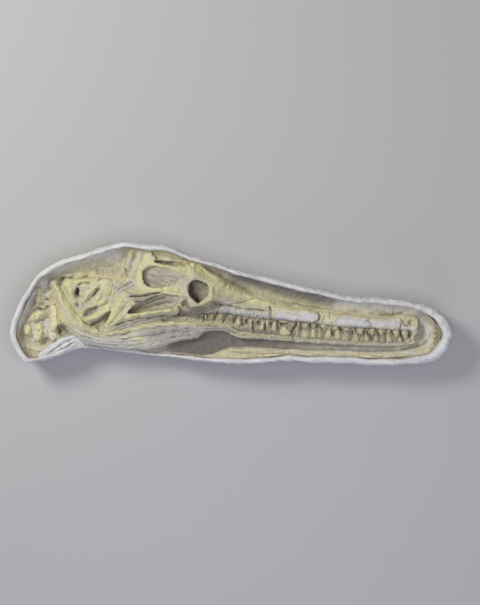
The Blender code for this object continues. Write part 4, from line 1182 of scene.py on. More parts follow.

# %% [markdown]
# Tints of the bones. Yellow dust of the rock clings to the margins of the roof and the arm, the
# plates of the snout and the lower blade are bleached, grey and brown shade is painted into
# cracks, grooves and holes, and a little pale light is painted on the ledge of the jaw.

# %% Yellow of the bones
stains(
    skull, "yellow",
    temple=(18, 0.9, (140, 262), (140, 276), (143, 287), (160, 289), (182, 290)),
    roof=(16, 0.9, (147, 256), (150, 262), (168, 267), (190, 270)),
    roof_edge=(18, 1, (190, 262), (199, 268), (212, 277), (222, 283)),
    face=(28, 0.75, (212, 284), (226, 292), (246, 298), (262, 301)),
    snout_top=(14, 1, (246, 296), (268, 303), (290, 306), (320, 310), (340, 313)),
    snout_front_top=(8, 0.9, (350, 315), (380, 317.4), (404, 317)),
    plate_top=(9, 0.7, (276, 309.6), (294, 310.4), (312, 312)),
    eye_rim=(12, 0.9, (211, 287), (212, 297), (203, 304)),
    cheek=(11, 0.9, (118, 319), (147, 312), (176, 309)),
    quadrate=(20, 0.9, (124, 298), (114, 314), (106, 325)),
    gap=(18, 0.7, (320, 314), (326, 316), (332, 318)),
    nostril=(13, 1, (410, 320.4), (413.4, 322.6), (411.4, 325)),
    premaxilla_end=(6, 1, (417.6, 317.6), (418.6, 322), (417.6, 327)),
    horn=(10, 0.8, (124, 262), (120, 272), (114, 281)),
    arm=(22, 1, (57, 288), (66, 302), (78, 317), (90, 326), (102, 331)),
    arm_left=(14, 0.9, (56, 300), (60, 314), (64, 322)),
    rail=(8, 0.7, (106, 333.4), (130, 329.4), (150, 325.4), (172, 323), (190, 323)),
    band=(6, 0.9, (190, 323), (208, 323.4), (224, 325), (236, 328.6)),
    blade_spot=(9, 0.9, (134, 338), (144, 338.6)),
    strip=(5, 0.45, (240, 333), (270, 336.4), (320, 340.6), (380, 343.6)),
    bars=(16, 0.7, (84, 301), (98, 286)),
    low_bar=(14, 0.9, (84, 321), (110, 308.6)),
    flat_plate=(24, 0.7, (104, 284), (110, 292)),
    knob=(20, 1, (68, 284), (73, 300)),
    right=(22, 0.8, (98, 300), (108, 306)),
    lip=(10, 0.8, (68, 281), (96, 279)),
)

# %% Pale of the bones
stains(
    skull, "pale",
    plate_rough=(15, 1, (221, 309), (240, 312), (268, 315)),
    plate_long=(17, 1, (278, 316), (298, 317.4), (313, 317.4)),
    plate_long_end=(15, 1, (304, 314.6), (314, 316)),
    plate_front=(18, 1, (338, 321), (354, 322.4), (368, 324)),
    plate_tip=(17, 0.9, (376, 324), (398, 324.4)),
    plate_long_streak=(4, 0.7, (280, 311), (296, 311.6), (306, 312.4)),
    plate_front_streak=(4, 0.6, (343, 316.6), (358, 318), (366, 319)),
    lilac=(14, 0.5, (116, 294), (124, 289), (136, 284)),
    arm_side=(10, 0.5, (58, 300), (66, 314)),
    # The pale on the ledge is painted light, lifting it out of the shade between the braincase and the jaw.
    ledge=(8, 0.6, (84, 324), (96, 328.4), (104, 331.6)),
    braincase=(22, 0.4, (90, 300), (104, 298)),
    brow=(12, 0.5, (184, 284), (186, 292), (192, 277)),
    tooth_margin=(9, 0.8, (208, 312), (230, 313), (250, 316.6), (268, 318)),
    horn_side=(14, 0.5, (142, 251), (138, 268)),
    premaxilla=(12, 0.7, (404, 329), (416, 322)),
    knot=(10, 0.8, (238, 296.6), (246, 296)),
    blade=(42, 0.8, (88, 341), (110, 342), (136, 339), (160, 333.6), (190, 331)),
    blade_low=(18, 0.8, (84, 343), (112, 347), (146, 347), (172, 340), (197, 336)),
    sweep=(20, 0.8, (70, 332), (84, 340)),
    strip_front=(9, 0.9, (244, 337.6), (280, 341), (320, 343.4), (370, 346), (412, 343)),
    arm_top=(14, 0.7, (52, 282), (56, 286)),
)

# %% Grey of the bones
# Much of this grey is painted shade: on the slope below the eye, under the cheek bar, in the tooth slots,
# the horn's groove, between the splinters, in the lilac cracks, the face groove, the jaw's band groove and
# the strip beside it, the strip's pits, the foramen, the braincase groove and the dish, and beside the bar.
# The rest is the bone's own grey.
stains(
    skull, "grey",
    jugal=(24, 1, (184, 313), (194, 311), (206, 308), (216, 303), (222, 304)),
    jaw_band=(9, 1, (190, 329), (208, 329), (224, 329.6), (236, 333)),
    strip_top=(3.4, 0.5, (236, 330), (256, 333), (290, 335.4), (330, 338.6), (370, 341), (404, 341.6)),
    lower_cheek=(9, 0.9, (116, 327), (140, 321), (165, 317.6), (188, 317)),
    slot_row=(12, 0.9, (196, 315.4), (216, 312.6)),
    horn_groove=(9, 0.8, (136, 251), (133, 262), (130, 270)),
    splinters=(14, 0.8, (124, 296), (142, 297), (160, 292)),
    lilac_cracks=(14, 0.7, (118, 292), (126, 287), (136, 284)),
    groove=(8, 0.9, (213, 298), (220, 304), (234, 306.6), (256, 310)),
    sweep=(8, 0.7, (84, 337), (104, 342), (130, 344), (156, 341)),
    patches=(30, 1, (146, 336), (168, 333), (184, 332), (198, 333)),
    pitted_side=(22, 0.75, (214, 295), (228, 298), (244, 301)),
    face_middle=(18, 0.5, (214, 287), (226, 292), (240, 297)),
    plate_rough_shade=(7, 0.6, (222, 313), (240, 315), (262, 318)),
    plate_rough_mark=(5, 0.5, (232, 308), (233, 313)),
    plate_rough_mark_2=(5, 0.5, (251, 311), (252, 316)),
    strip_pits=(5, 0.8, (232, 331), (246, 332.4), (262, 334), (290, 336)),
    temple_side=(9, 0.5, (186, 274), (188, 282), (184, 293)),
    snout_side=(9, 0.5, (246, 305), (262, 307), (268, 311)),
    plate_streak=(5, 0.5, (276, 318), (292, 320), (308, 321)),
    foramen=(12, 0.9, (185, 300), (188, 305), (190.6, 310)),
    plate_line=(2.4, 0.5, (275, 313.6), (288, 314), (302, 315.4)),
    plate_line_front=(2.4, 0.5, (336, 319.4), (350, 319.6), (364, 321)),
    plate_streak_front=(5, 0.5, (340, 325.6), (356, 326.4), (368, 327)),
    rail_side=(6, 0.5, (112, 336), (140, 331), (176, 326.4)),
    rear_strip=(6, 0.9, (206, 330.4), (226, 331)),
    braincase_groove=(10, 0.7, (78.6, 294), (77, 301), (78, 308)),
    dish=(14, 0.9, (84, 315.6), (97, 307)),
    bar_shade=(9, 0.7, (89, 300), (99, 288)),
    snout_top_line=(4, 0.5, (276, 307), (296, 308)),
)

# %% Brown of the bones
# This brown is painted shade in cracks, notches and holes, at the end of the long plate and on the slope
# below the eye; the orange by the horn and on the band, the specks, and the brown on the rear of the jaw,
# the face and the premaxilla's end are stains of the bone.
stains(
    skull, "brown",
    orange=(8, 0.55, (126.4, 268.6), (127.4, 275)),
    table_crack=(5, 0.7, (152.6, 252), (155.4, 255), (158.4, 258.4)),
    roof_notch=(5, 0.6, (188.4, 263.4), (190.4, 261.4)),
    plate_end=(3, 0.6, (318.4, 312), (319, 318), (313, 323)),
    break_1=(4, 0.55, (270, 307), (271, 313)),
    specks=(4, 0.5, (196, 325.6), (208, 326), (218, 326.4)),
    jugal=(23, 0.62, (184, 313), (196, 310.4), (207, 307), (216, 303.6)),
    jugal_rear=(8, 0.35, (176, 315.6), (188, 315)),
    rear_jaw=(28, 0.38, (150, 334), (168, 331.6), (188, 330)),
    rear_jaw_low=(10, 0.25, (160, 342), (176, 337.6), (194, 334.6)),
    face=(24, 0.18, (214, 290), (228, 294), (242, 298)),
    band_orange=(5, 0.3, (192, 323.4), (206, 323.6), (220, 324.6)),
    strip_crack=(4, 0.6, (294.4, 335), (294, 343)),
    hole=(12, 1, (77.8, 288.6), (77.4, 294)),
    cavity=(14, 0.75, (93, 324.4), (100, 321), (107, 315)),
    nostril=(7, 0.4, (409.4, 321.4), (411, 325)),
    nostril_shade=(3.4, 0.5, (402.6, 320), (404.6, 324.6), (409.6, 327)),
    foramen=(8, 0.5, (184, 302), (186.6, 304.4), (188.6, 307)),
    premaxilla_end=(4, 0.45, (418.4, 317.6), (419, 323)),
)

# %% [markdown]
# Weather made patterns rather than strokes: pale and grey patches a few centimetres long, fine
# grey lines, brown specks, and grey blotches along the teeth. The yellow is broken up.

# %% Weather
skull.soak("pale", 0.5 * eased((ripple(26, 120, 2, -0.15) - 0.3) / 1.4))
skull.soak("grey", 0.45 * eased((ripple(19, 121, 2.5, -0.15) - 0.5) / 1.4))
skull.soak("grey", 0.75 * lengthwise * (1 - 0.5 * arm_share))
skull.soak("brown", 0.55 * eased((0.36 - pores(5.6, 122)) / 0.24) * sculptured)
skull.soak("grey", np.maximum(margins, 0.7 * rough_plate) * (0.2 + 0.7 * eased(ripple(6.5, 124))))
skull.soak("brown", 0.4 * margins * eased((0.42 - pores(4.6, 125)) / 0.26))
skull.tints["yellow"] *= 1 - 0.35 * eased((ripple(9, 123, 2, -0.15) - 0.2) / 1.4)
print("mean yellow of the plan:", skull.tints["yellow"].mean().round(3))

# %% [markdown]
# Shade is painted wherever the surface is lower than its surroundings, and yellow, partly dust
# and partly a painted highlight, where it stands out.

# %% Painted shade and dust
def dirt(relief, radius, depth, shade, amount, dust):
    """Painted shade: lilac grey, up to `shade`, where the surface lies lower than its surroundings,
    and brown, up to `amount`, where it is lower still. Yellow, dust with a painted highlight, where
    it stands out and isn't bleached."""
    low = blurred(relief.height, radius) - relief.height
    clean = 1 - np.maximum(relief.tints["pale"], relief.tints["grey"])
    # Yellow on raised parts is dust and a painted highlight; grey and brown in hollows are painted shade.
    relief.soak("yellow", dust * eased((-low - 0.1 * depth) / depth) * clean)
    relief.soak("grey", shade * eased((low - 0.15 * depth) / depth))
    relief.soak("brown", amount * eased((low - 0.6 * depth) / depth))
    print("dirt laid, deepest place, mm:", low.max().round(1))


dirt(skull, 4, 2.4, 0.55, 0.5, 0.35)

# %% [markdown]
# Tints of the rock: cream near the bones and on the terrace, grey in the cut trough, where it is a
# painted shadow of the jaw, brown painted shade between the teeth and in the deep openings, and
# pale painted light on some slopes in shade.

# %% Broad tints of the rock
rock.soak("yellow", 0.8 * standing * eased(2.6 * blurred(all_bone, 8)))
streaky = along_skull([(0, 0.8), (250, 0.55)]) * (1 + 0.4 * ripple(7, 71, 8, -0.03))
rock.soak("yellow", on_terrace * np.clip(streaky, 0, 1))
rock.soak("pale", on_terrace * np.clip(0.4 * ripple(9, 72, 7, -0.03), 0, 0.6))
# The trough's grey is a painted shadow of the jaw, strongest at the rear.
rock.soak("grey", in_trough * along_skull([(-130, 1), (60, 1), (250, 0.3), (460, 0.15)]))

# %% Yellow of the rock
stains(
    rock, "yellow",
    ledge=(13, 1, (61, 275.4), (97, 273.6)),
    upper_bank=(34, 0.8, (76, 268), (98, 264), (118, 262)),
    snout_bank=(18, 0.9, (246, 288), (276, 297), (306, 303.4), (332, 308), (372, 312.4)),
    end_bank=(22, 1, (432, 315), (439, 322), (441, 336), (437, 348), (424, 354)),
    # This yellow, with the brown of the same line, makes an olive painted shadow under the snout's edge.
    olive_undercut=(10, 0.8, (374, 313.6), (388, 314), (402, 313)),
    lobe_low=(34, 0.75, (21, 341), (30, 350), (48, 347)),
    lobe_block=(26, 0.9, (48, 294), (52, 318)),
    lobe_spread=(14, 0.9, (31, 308), (45, 308)),
    lobe_middle=(20, 0.8, (34, 338), (46, 330), (52, 336)),
    pit_rim=(10, 0.9, (57, 326), (57.6, 332), (60, 337), (66, 339)),
    notch_glow=(9, 0.95, (226, 283), (238, 287.4), (252, 292.6)),
    left_rim=(8, 0.6, (18, 344), (17, 328), (24, 306)),
)

# %% Grey of the rock
# The grey on the bank beside the snout is painted shade, on a slope that faces away from the key light, and
# so is the grey in the pits, the far slit and the ledge's hollow. The rest is the rock's own grey.
stains(
    rock, "grey",
    trough_end=(14, 0.3, (417, 344), (423, 335), (425, 324)),
    snout_wall=(36, 0.85, (236, 277), (262, 284), (300, 295), (330, 301)),
    lobe_left=(12, 0.2, (24, 318), (34, 294), (48, 276)),
    pit=(18, 0.5, (60, 328), (65, 333)),
    temple_floor=(12, 0.45, (146, 270), (148, 280), (160, 284)),
    temple_lines=(4, 0.4, (156, 270), (164, 275), (178, 278)),
    far_slit=(8, 0.6, (168, 262.6), (178, 264), (185, 264.8)),
    temple_lines_2=(4, 0.45, (152, 275), (160, 280), (170, 283)),
    cheek_floor=(20, 0.35, (150, 306), (170, 298)),
    lobe_pit=(14, 0.3, (42, 343.6), (47, 342)),
    ledge_pit=(16, 0.6, (60, 283), (67, 281.6)),
)

# %% Pale of the rock
# On the lobe this pale is partly the rock's light cream and partly painted light against the rim's shadow;
# on the bank behind the skull, the wall in front of the snout and the front and tip of the trough it is
# painted light on slopes that lie in shade.
stains(
    rock, "pale",
    lobe=(38, 0.95, (20, 326), (27, 302), (42, 284)),
    back_bank=(40, 0.85, (56, 268), (76, 260), (100, 254), (116, 256)),
    lobe_gaps=(20, 0.75, (32, 323), (33, 338), (44, 325)),
    lobe_top=(22, 0.7, (40, 300), (46, 284)),
    lobe_side=(20, 0.6, (48, 322), (50, 334), (52, 342)),
    lobe_low=(16, 0.55, (22, 346), (34, 351), (46, 350)),
    front_wall=(26, 0.9, (330, 303), (360, 306), (396, 310), (414, 312)),
    temple_floor=(30, 0.15, (154, 272), (164, 276), (178, 277)),
    trough_front=(18, 0.45, (300, 347.6), (350, 349.6), (402, 349.6)),
    trough_tip=(16, 0.9, (398, 348.6), (410, 346), (418, 341)),
    end=(15, 0.8, (423, 322), (430, 330), (428.6, 344)),
)

# %% Brown of the rock
# Apart from the glow along the notch, the rough band at the tip and the specks on the terrace, this brown is
# painted shade: between the teeth, in the notch and the shadow behind it, along and under the snout's edge,
# in the eye socket and the other openings, in the pit's crescent, in the groove at the tip and along the
# foot of the left wall.
stains(
    rock, "brown",
    tooth_band=(20, 0.45, (200, 318), (224, 318.6), (246, 322.6), (280, 326.6), (320, 330.6), (360, 334.6),
                (400, 336.6), (410, 336)),
    notch=(6, 0.6, (219, 275.6), (226, 279.8), (233, 283.6), (246, 289.6)),
    notch_rear=(8, 0.4, (203, 265.6), (211, 271.6), (218, 275)),
    notch_glow=(11, 0.45, (226, 283), (238, 287.4), (250, 292)),
    snout_line=(4, 0.4, (284, 302.6), (300, 305.4), (320, 308.2)),
    olive_undercut=(8, 0.65, (380, 314.8), (392, 314.8), (402, 313.8)),
    orbit=(20, 1, (191, 284), (191.6, 293), (197, 301)),
    orbit_top=(9, 0.6, (194, 282), (201, 281.4)),
    cheek=(14, 0.7, (127, 312), (136, 308.6), (146, 306)),
    far_slit=(9, 0.7, (155, 260.6), (163, 262), (172, 263)),
    temple=(6, 0.8, (143.6, 271), (143.6, 280), (150, 286)),
    foramen=(12, 0.55, (184, 302), (186, 303)),
    pit_edge=(5, 0.65, (57, 326), (57.6, 332), (60, 336.6), (66, 338.6)),
    left_wall=(5, 0.6, (15, 345), (13.6, 330), (22, 304), (36, 280)),
    tip=(4, 0.35, (420, 318), (420, 328), (416.6, 337)),
    bank_specks=(3, 0.5, (236, 353.4), (262, 353.6), (290, 354.6)),
    rough=(14, 0.45, (435.6, 318), (439.6, 325), (440.6, 335), (438, 345), (432, 351)),
    rough_deep=(7, 0.6, (438.4, 321), (440.4, 330), (439.6, 339)),
)

# %% Painted shade between the teeth, and painted shade and dust on the rock
# The brown painted between the teeth, on rock and bone alike, is shade.
for start, end, width in TOOTH_SLOTS:
    for relief in (rock, skull):
        relief.stroke([start, end], 1.1 * min(width, 7), 0.75, "brown", tapered=False)
rock.soak("yellow", 0.8 * tooth_band * eased((ripple(8, 68) - 0.2) / 0.8))
speckled = eased((0.5 - pores(4.2, 69)) / 0.3) + 0.5 * eased(ripple(6, 70))
rock.soak("brown", 0.75 * tip_rough * speckled)
dirt(rock, 5, 3.2, 0.35, 0.36, 0.3)


# %% [markdown]
# Now the bones are cut out along their seams, one body for each bone of the frame, and each stands
# for its bone. Three seams of the cranium slant, and the others run straight across the plan.

# %% Seams
SEAM_WIDTH = 0.3


def left_of(x0, y0, x1, y1):
    """The distance from a straight seam, positive on the left of its direction."""
    length = math.hypot(x1 - x0, y1 - y0)
    return ((x1 - x0) * (Y - y0) - (y1 - y0) * (X - x0)) / length + 0.5 * ripple(9, 77)


def east_of(x):
    """The distance to the east of an upright seam across the plan, on a slightly crooked line."""
    return X - x + 0.6 * ripple(8, 78)


def between(depth, *sides):
    """What is inside the outline and on the kept side of every seam, half a seam away from it."""
    for side in sides:
        depth = np.minimum(depth, side - SEAM_WIDTH / 2)
    return depth


orbit = left_of(-110, 110, -131, -33)
temple = left_of(-302, -10, -102, 4)
quadrate = left_of(-268, 5, -282, -75)
face, snout_rear, snout_middle, premaxilla = (east_of(x) for x in (-1.25, 108.75, 218.75, 411.25))
process, jaw_rear, dentary = (east_of(x) for x in (-365, -70, 150))
bones = {
    "skull_table": between(bone_depth, -orbit, temple),
    "cheek_bar": between(bone_depth, -orbit, -temple, quadrate),
    "quadrate": between(bone_depth, -temple, -quadrate),
    "orbital_bones": between(bone_depth, orbit, -face),
    "maxilla_rear": between(upper_depth, face, -snout_rear),
    "maxilla_middle": between(upper_depth, snout_rear, -snout_middle),
    "maxilla_front": between(upper_depth, snout_middle, -premaxilla),
    "premaxilla": between(upper_depth, premaxilla),
    "jaw_process": between(jaw_depth, -process),
    "jaw_rear": between(jaw_depth, process, -jaw_rear),
    "dentary_rear": between(jaw_depth, jaw_rear, -dentary),
    "dentary_front": between(jaw_depth, dentary),
    "braincase": brain_depth,
}

# %% Cut the bones out of the relief
SNOUT_BONES = ("premaxilla", "maxilla_front", "maxilla_middle")
UNDERSIDE = BONE_LEVEL - 2.5


def place_piece(made, slot, *nodes):
    """A finished piece rides on the one body and stands for its bones."""
    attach(made, "root")
    if nodes:
        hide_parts(*nodes)
    print(made.name, "faces:", len(made.data.polygons))


for node, depth in bones.items():
    look, slot = (snout_bone, "snout_bone") if node in SNOUT_BONES else (fossil_bone, "fossil_bone")
    place_piece(cut_piece(node + "_relief", depth, skull, UNDERSIDE, look), slot, node)

# %% [markdown]
# The bones of the neck are small and low, each with its own outline.

# %% Neck bones
NECK_HEIGHT = {"neck_rib": 11, "neck_arch": 15, "neck_plate": 15, "neck_block_top": 13, "neck_block_low": 13}
neck = Relief(BONE_LEVEL)
for name, depth in neck_depth.items():
    neck.height = np.maximum(neck.height, BONE_LEVEL + quarter_ellipse(NECK_HEIGHT[name], depth / 9))
marks(neck, **{f"plate_crack_{k}": (3.4, -6, (49, 308.4 + 5 * k), (57.4, 307.6 + 5 * k)) for k in range(4)})
marks(
    neck,
    arch_lip=(5, 3, (28.6, 318), (36, 314.4), (43.4, 313.6)),
    arch_line=(3.4, -3, (30, 321.6), (37, 319.6), (43, 316.6)),
    block_edge=(4, 2.5, (24, 326.6), (28, 326), (29, 331)),
    block_cleft=(3.6, -4, (34, 333), (41, 332)),
)
neck.height += 0.8 * ripple(12, 51) + 0.3 * ripple(4, 52) - 0.8 * pitting
neck.height = np.maximum(neck.height, ground.height + 1.2)
neck.tints["yellow"][:] = 0.8
dirt(neck, 4, 2.4, 0.4, 0.4, 0.5)
for name, depth in neck_depth.items():
    place_piece(cut_piece(name + "_relief", depth, neck, UNDERSIDE, neck_bone), "neck_bone", name)

# %% [markdown]
# The rock bed itself is cut along the tray's wall, a hair away from it, and reaches down to the
# tray's inner floor. Nothing pierces it, so its underside is a single flat face.

# %% Cut the rock bed
TRAY_INNER_FLOOR = 24.0
bed = cut_piece("rock_bed", wall_depth - 0.3, rock, TRAY_INNER_FLOOR + 0.5, mudstone,
                wall_rows=4, stride=2, whole=True)
place_piece(bed, "matrix", "matrix_bed")

# %% [markdown]
# Teeth. Some are blunt pegs and some are pointed, and upper and lower ones stand in each other's
# gaps. A surface of two parameters does for all: one runs along the axis of the tooth from below
# its root to its tip, the other round it. Each row of the tables is a tooth: where its base and
# its tip are, how wide it is in millimetres, how blunt, and how brown. The teeth lie half sunk
# in rock, so that only their upper sides show.

# %% The rows of teeth
UPPER_TEETH = [
    (205.6, 314.5, 205.4, 320.4, 5.5, 5, 0.3), (212, 313.5, 210.6, 321, 12, 6, 0.65),
    (221, 313.6, 219, 321, 16, 5, 0.45), (231, 314.5, 229.4, 321.2, 18, 5, 0.65),
    (245.6, 316, 245.2, 319.6, 18, 4, 0.45), (257, 317.6, 257, 321.4, 14, 4, 0.45),
    (267.4, 318.6, 267.6, 329.5, 8, 3, 0.1), (283.5, 320, 283, 323.4, 22, 5, 0.1),
    (298.3, 322, 298.8, 328.4, 9, 3, 0.4), (305.6, 322.6, 305.2, 329, 17.5, 4, 0.25),
    (313.6, 323, 313.4, 329, 13, 3, 0.3), (324, 324.6, 323.4, 328.8, 15, 3, 0.1),
    (335, 326, 337, 331.6, 16, 2.5, 0.2), (346.6, 327.2, 347.2, 333, 20, 2.5, 0.3),
    (360, 328, 361.2, 336.6, 21, 1.8, 0.15), (372.6, 328.6, 372.8, 337.4, 15, 2.2, 0.25),
    (381, 329.2, 382.2, 336.8, 17.5, 2, 0.2), (389.2, 329.6, 389, 335.6, 12.5, 2, 0.3),
    (395.8, 329.8, 397.2, 338.4, 19, 2, 0.05), (404.6, 330.4, 407, 340.4, 18.5, 2.2, 0.15),
]
LOWER_TEETH = [
    (201, 322, 201, 317.4, 9, 2.5, 0), (238, 327, 239.2, 316, 12, 3, 0.05),
    (250.6, 328.6, 250.4, 318.2, 9.5, 3, 0.1), (261, 331.5, 263.6, 320.6, 13, 2.4, 0.05),
    (274, 332, 275.4, 320.4, 14.5, 2.2, 0.1), (285.2, 337, 285.6, 326.2, 26.5, 5, 0.1),
    (297.6, 337.4, 297, 325.8, 12.5, 3, 0.45), (305.4, 339, 305.4, 329.6, 22, 4.5, 0.1),
    (313.8, 339, 313, 328.4, 14, 3, 0.1), (320.6, 340, 320.4, 329, 16, 3, 0.4),
    (328, 341, 329.4, 327.6, 16.5, 3, 0), (338, 341.4, 338, 329.4, 17.5, 3, 0.1),
    (347, 342.4, 346, 331.4, 25, 4, 0.45), (356.8, 343, 356.4, 332.4, 17.5, 2.4, 0.3),
    (362.6, 343, 363, 336, 13.5, 2.5, 0.6), (367.8, 343.2, 366.4, 333.2, 15, 2.2, 0.3),
    (377, 343.4, 376.4, 333.4, 14.5, 2.2, 0.4), (383.4, 343.6, 383.4, 335, 16, 3, 0.6),
    (390, 343.6, 388.4, 334, 17.5, 2.4, 0.25), (396, 343.6, 395.4, 335.4, 12, 2.4, 0.6),
    (401, 343.6, 400, 335.8, 15, 2.2, 0.3), (408.4, 344, 409.4, 338.8, 16, 2.4, 0.2),
]
TOOTH_AXIS_LEVEL = BONE_LEVEL + 9.0
ROUND, LONG = 18, 15
AROUND = np.linspace(0, 2 * math.pi, ROUND, endpoint=False)
print("teeth:", len(UPPER_TEETH), "above and", len(LOWER_TEETH), "below")

# %% [markdown]
# Enamel is denser than bone and keeps a low gloss. The eye sees fine streaks along each tooth,
# a brown root, and some teeth stained throughout. Brown shade is painted along both flanks, which
# leaves the middle of each tooth lit.

# %% Enamel
enamel, tree, shader = fresh_material("fossil_enamel", 0.5)
place = add(tree, "ShaderNodeTexCoord").outputs["Object"]
# The streaks are about 2.4 mm wide and 17 mm long.
streak = add(tree, "ShaderNodeMapping", {"Vector": place, "Scale": (420.0, 60.0, 420.0)})
noise = add(tree, "ShaderNodeTexNoise", {"Vector": streak.outputs[0], "Scale": 1.0, "Detail": 4.0})
colour = two_shades(tree, noise.outputs[0], "#D6CFA8", "#BBB288")
# The brown attribute holds the root's stain and the painted shade on the flanks.
rooted = add(tree, "ShaderNodeAttribute", attribute_name="brown")
colour = add(tree, "ShaderNodeMix", {0: rooted.outputs["Fac"], 6: colour, 7: linear("#786A5A")},
             data_type="RGBA").outputs[2]
tree.links.new(colour, shader.inputs["Base Color"])
bump = add(tree, "ShaderNodeBump", {"Height": noise.outputs[0], "Distance": 0.2 * MM})
tree.links.new(bump.outputs[0], shader.inputs["Normal"])


# %% [markdown]
# A tooth's half width falls as (1 - t^blunt)^(0.5 + 0.7 / blunt) to the tip, and its base is
# rounded off where it sinks into the jaw. Nine low ridges run along it, and it is worn unevenly.

# %% Build the teeth
def tooth_points(base, tip, width, blunt, phase):
    """Rings along the tooth, flattened to two thirds, on an axis that sinks towards the tip."""
    run = tip - base
    length = np.linalg.norm(run)
    ahead, aside = run / length, np.array([-run[1], run[0]]) / length
    t = np.linspace(0, 1, LONG)[:, None]
    a = AROUND[None, :]
    taper = np.clip(1 - t ** blunt, 0.01, 1) ** (0.5 + 0.7 / blunt)
    taper = taper * np.sqrt(np.clip(1 - (1 - np.clip(t / 0.22, 0, 1)) ** 2, 0.12, 1))
    reach = width / 2 * taper * (1 + 0.04 * np.cos(9 * a + phase))
    along = 3 * t * length / width + phase + 0 * a
    worn = 1 + 0.1 * ripple(1.6, 101, x=along, y=1.2 * np.cos(a) + 0 * t, waves=8)
    across = reach * np.cos(a) * worn
    plan = base + (t * length)[..., None] * ahead + across[..., None] * aside
    z = TOOTH_AXIS_LEVEL - 1.5 * t**2 + min(0.62, 10 / width) * reach * worn * np.sin(a)
    return np.concatenate([plan, z[..., None]], axis=2).reshape(-1, 3), t[:, 0]


def tooth_faces():
    """Quads between the rings, and strips of quads across both ends."""
    k = np.arange(LONG - 1)[:, None] * ROUND
    i = np.arange(ROUND)[None, :]
    j = (i + 1) % ROUND
    sides = np.stack([k + j, k + i, k + ROUND + i, k + ROUND + j], axis=2).reshape(-1, 4)
    half = np.arange(0, ROUND // 2 - 1)
    start = np.column_stack([half, half + 1, ROUND - 2 - half, ROUND - 1 - half])
    return np.vstack([sides, start, (LONG - 1) * ROUND + start[:, ::-1]])


def tooth_row(name, table, seed, lift):
    """All the teeth of one row in one mesh, lifted by a little."""
    draw = np.random.default_rng(seed)
    points, faces, brown = [], [], []
    # Both flanks of a tooth get a painted brown shade.
    flank = 0.38 * np.abs(np.cos(AROUND)) ** 4
    for k, (u0, v0, u1, v1, width, blunt, stain) in enumerate(table):
        base, tip = on_plan([(u0, v0), (u1, v1)]) + draw.uniform(-0.7, 0.7, (2, 2))
        made, t = tooth_points(base, tip, width, blunt, draw.uniform(0, 6))
        points.append(made + (0, 0, lift))
        brown.append(np.clip(np.maximum(0.5 - 1.2 * t, stain)[:, None] + flank, 0, 0.9).ravel())
        faces.append(tooth_faces() + k * ROUND * LONG)
    tints = {"brown": np.concatenate(brown)}
    place_piece(mesh_piece(name, np.vstack(points), np.vstack(faces), enamel, tints), "tooth_enamel")


tooth_row("upper_teeth", UPPER_TEETH, 100, 1.0)
tooth_row("lower_teeth", LOWER_TEETH, 200, -0.4)

# %% [markdown]
# The tray. Plaster cloth was laid on in strips, so that the outside shows overlapping bands and
# a lumpy rim. A cross-section of the wall is carried round the edge: foot, belly, rim and inner
# wall. Its surface is then pushed in and out by soft lumps and by the steps of the strips.

# %% The plaster tray
STATIONS, ACROSS = 1000, 84
STRIP_WIDTH = 46.0


def tray_profile(t, edge, spine, inward, width, rise):
    """The section of the wall at share t, a curve through rows of (reach, height). The foot reaches a
    share of the way to the spine, the outer wall millimetres inwards, the rim a share of its width."""
    crest = ROCK_LEVEL + rise
    shoulder = crest - 14.0
    foot = [(0.34, 0.0), (0.22, 1.4), (0.14, 6.0)]
    outer_wall = [(4, 19.0), (0.8, (19 + shoulder) / 2), (0, shoulder)]
    rim = [(0.12, shoulder * 0.35 + crest * 0.65), (0.42, crest), (0.72, crest - 0.6), (0.94, crest - 4.0),
           (1, crest - 9.0), (1, TRAY_INNER_FLOOR)]
    rings = []
    for way, rows in ((spine - edge, foot), (inward, outer_wall), (inward * width[:, None], rim)):
        for reach, z in rows:
            rings.append(np.column_stack([edge + way * reach, np.broadcast_to(z, len(edge))]))
    p = np.array(rings)
    p = np.concatenate([2 * p[:1] - p[1:2], p, 2 * p[-1:] - p[-2:-1]])
    place = t * (len(rings) - 1)
    k = np.minimum(place.astype(int), len(rings) - 2)
    return catmull_rom(p[k], p[k + 1], p[k + 2], p[k + 3], (place - k)[:, None, None])


edge, spine, inward, rim_width, rim_rise = round_the_edge(STATIONS)
travel = travelled(edge)
about = 2 * math.pi * travel / (travel[-1] + 3)
lumpy_width = rim_width * (1 + 0.07 * np.sin(9 * about + 1) + 0.05 * np.sin(31 * about))
lumpy_rise = rim_rise + 0.7 * np.sin(13 * about) + 0.5 * np.sin(37 * about + 2)
share = np.concatenate([np.linspace(0, 0.91, ACROSS - 6), np.linspace(0.925, 1, 6)])
skin = tray_profile(share, edge, spine, inward, lumpy_width, lumpy_rise)
along_ring = np.roll(skin, -1, axis=1) - np.roll(skin, 1, axis=1)
across_ring = np.gradient(skin, axis=0)
normal = np.cross(along_ring, across_ring)
normal /= np.maximum(np.linalg.norm(normal, axis=2, keepdims=True), 1e-6)
sx, sy, sz = skin[..., 0], skin[..., 1], skin[..., 2]
lumps = 0.9 * ripple(42, 81, x=sx + 0.6 * sz, y=sy - 0.8 * sz)
lumps += 0.45 * ripple(13, 82, x=sx + sz, y=sy - sz) + 0.22 * ripple(6, 84, x=sx + sz, y=sy - sz)
height_on_wall = np.cumsum(np.linalg.norm(np.diff(skin, axis=0, prepend=skin[:1]), axis=2), axis=0)
slanted = height_on_wall + 14 * np.sin(3 * about)[None, :] + 5 * np.sin(11 * about + 1)[None, :]
strip = (slanted / STRIP_WIDTH) % 1
steps = 1.3 * eased(strip / 0.06) * (1 - strip) - 0.5
pleats = 0.35 * ripple(7, 83, stretch=9, x=travel[None, :] + 0 * sx, y=height_on_wall)
outer = eased(share / 0.05) * eased((0.86 - share) / 0.05)
swell = (lumps + steps + pleats) * outer[:, None]
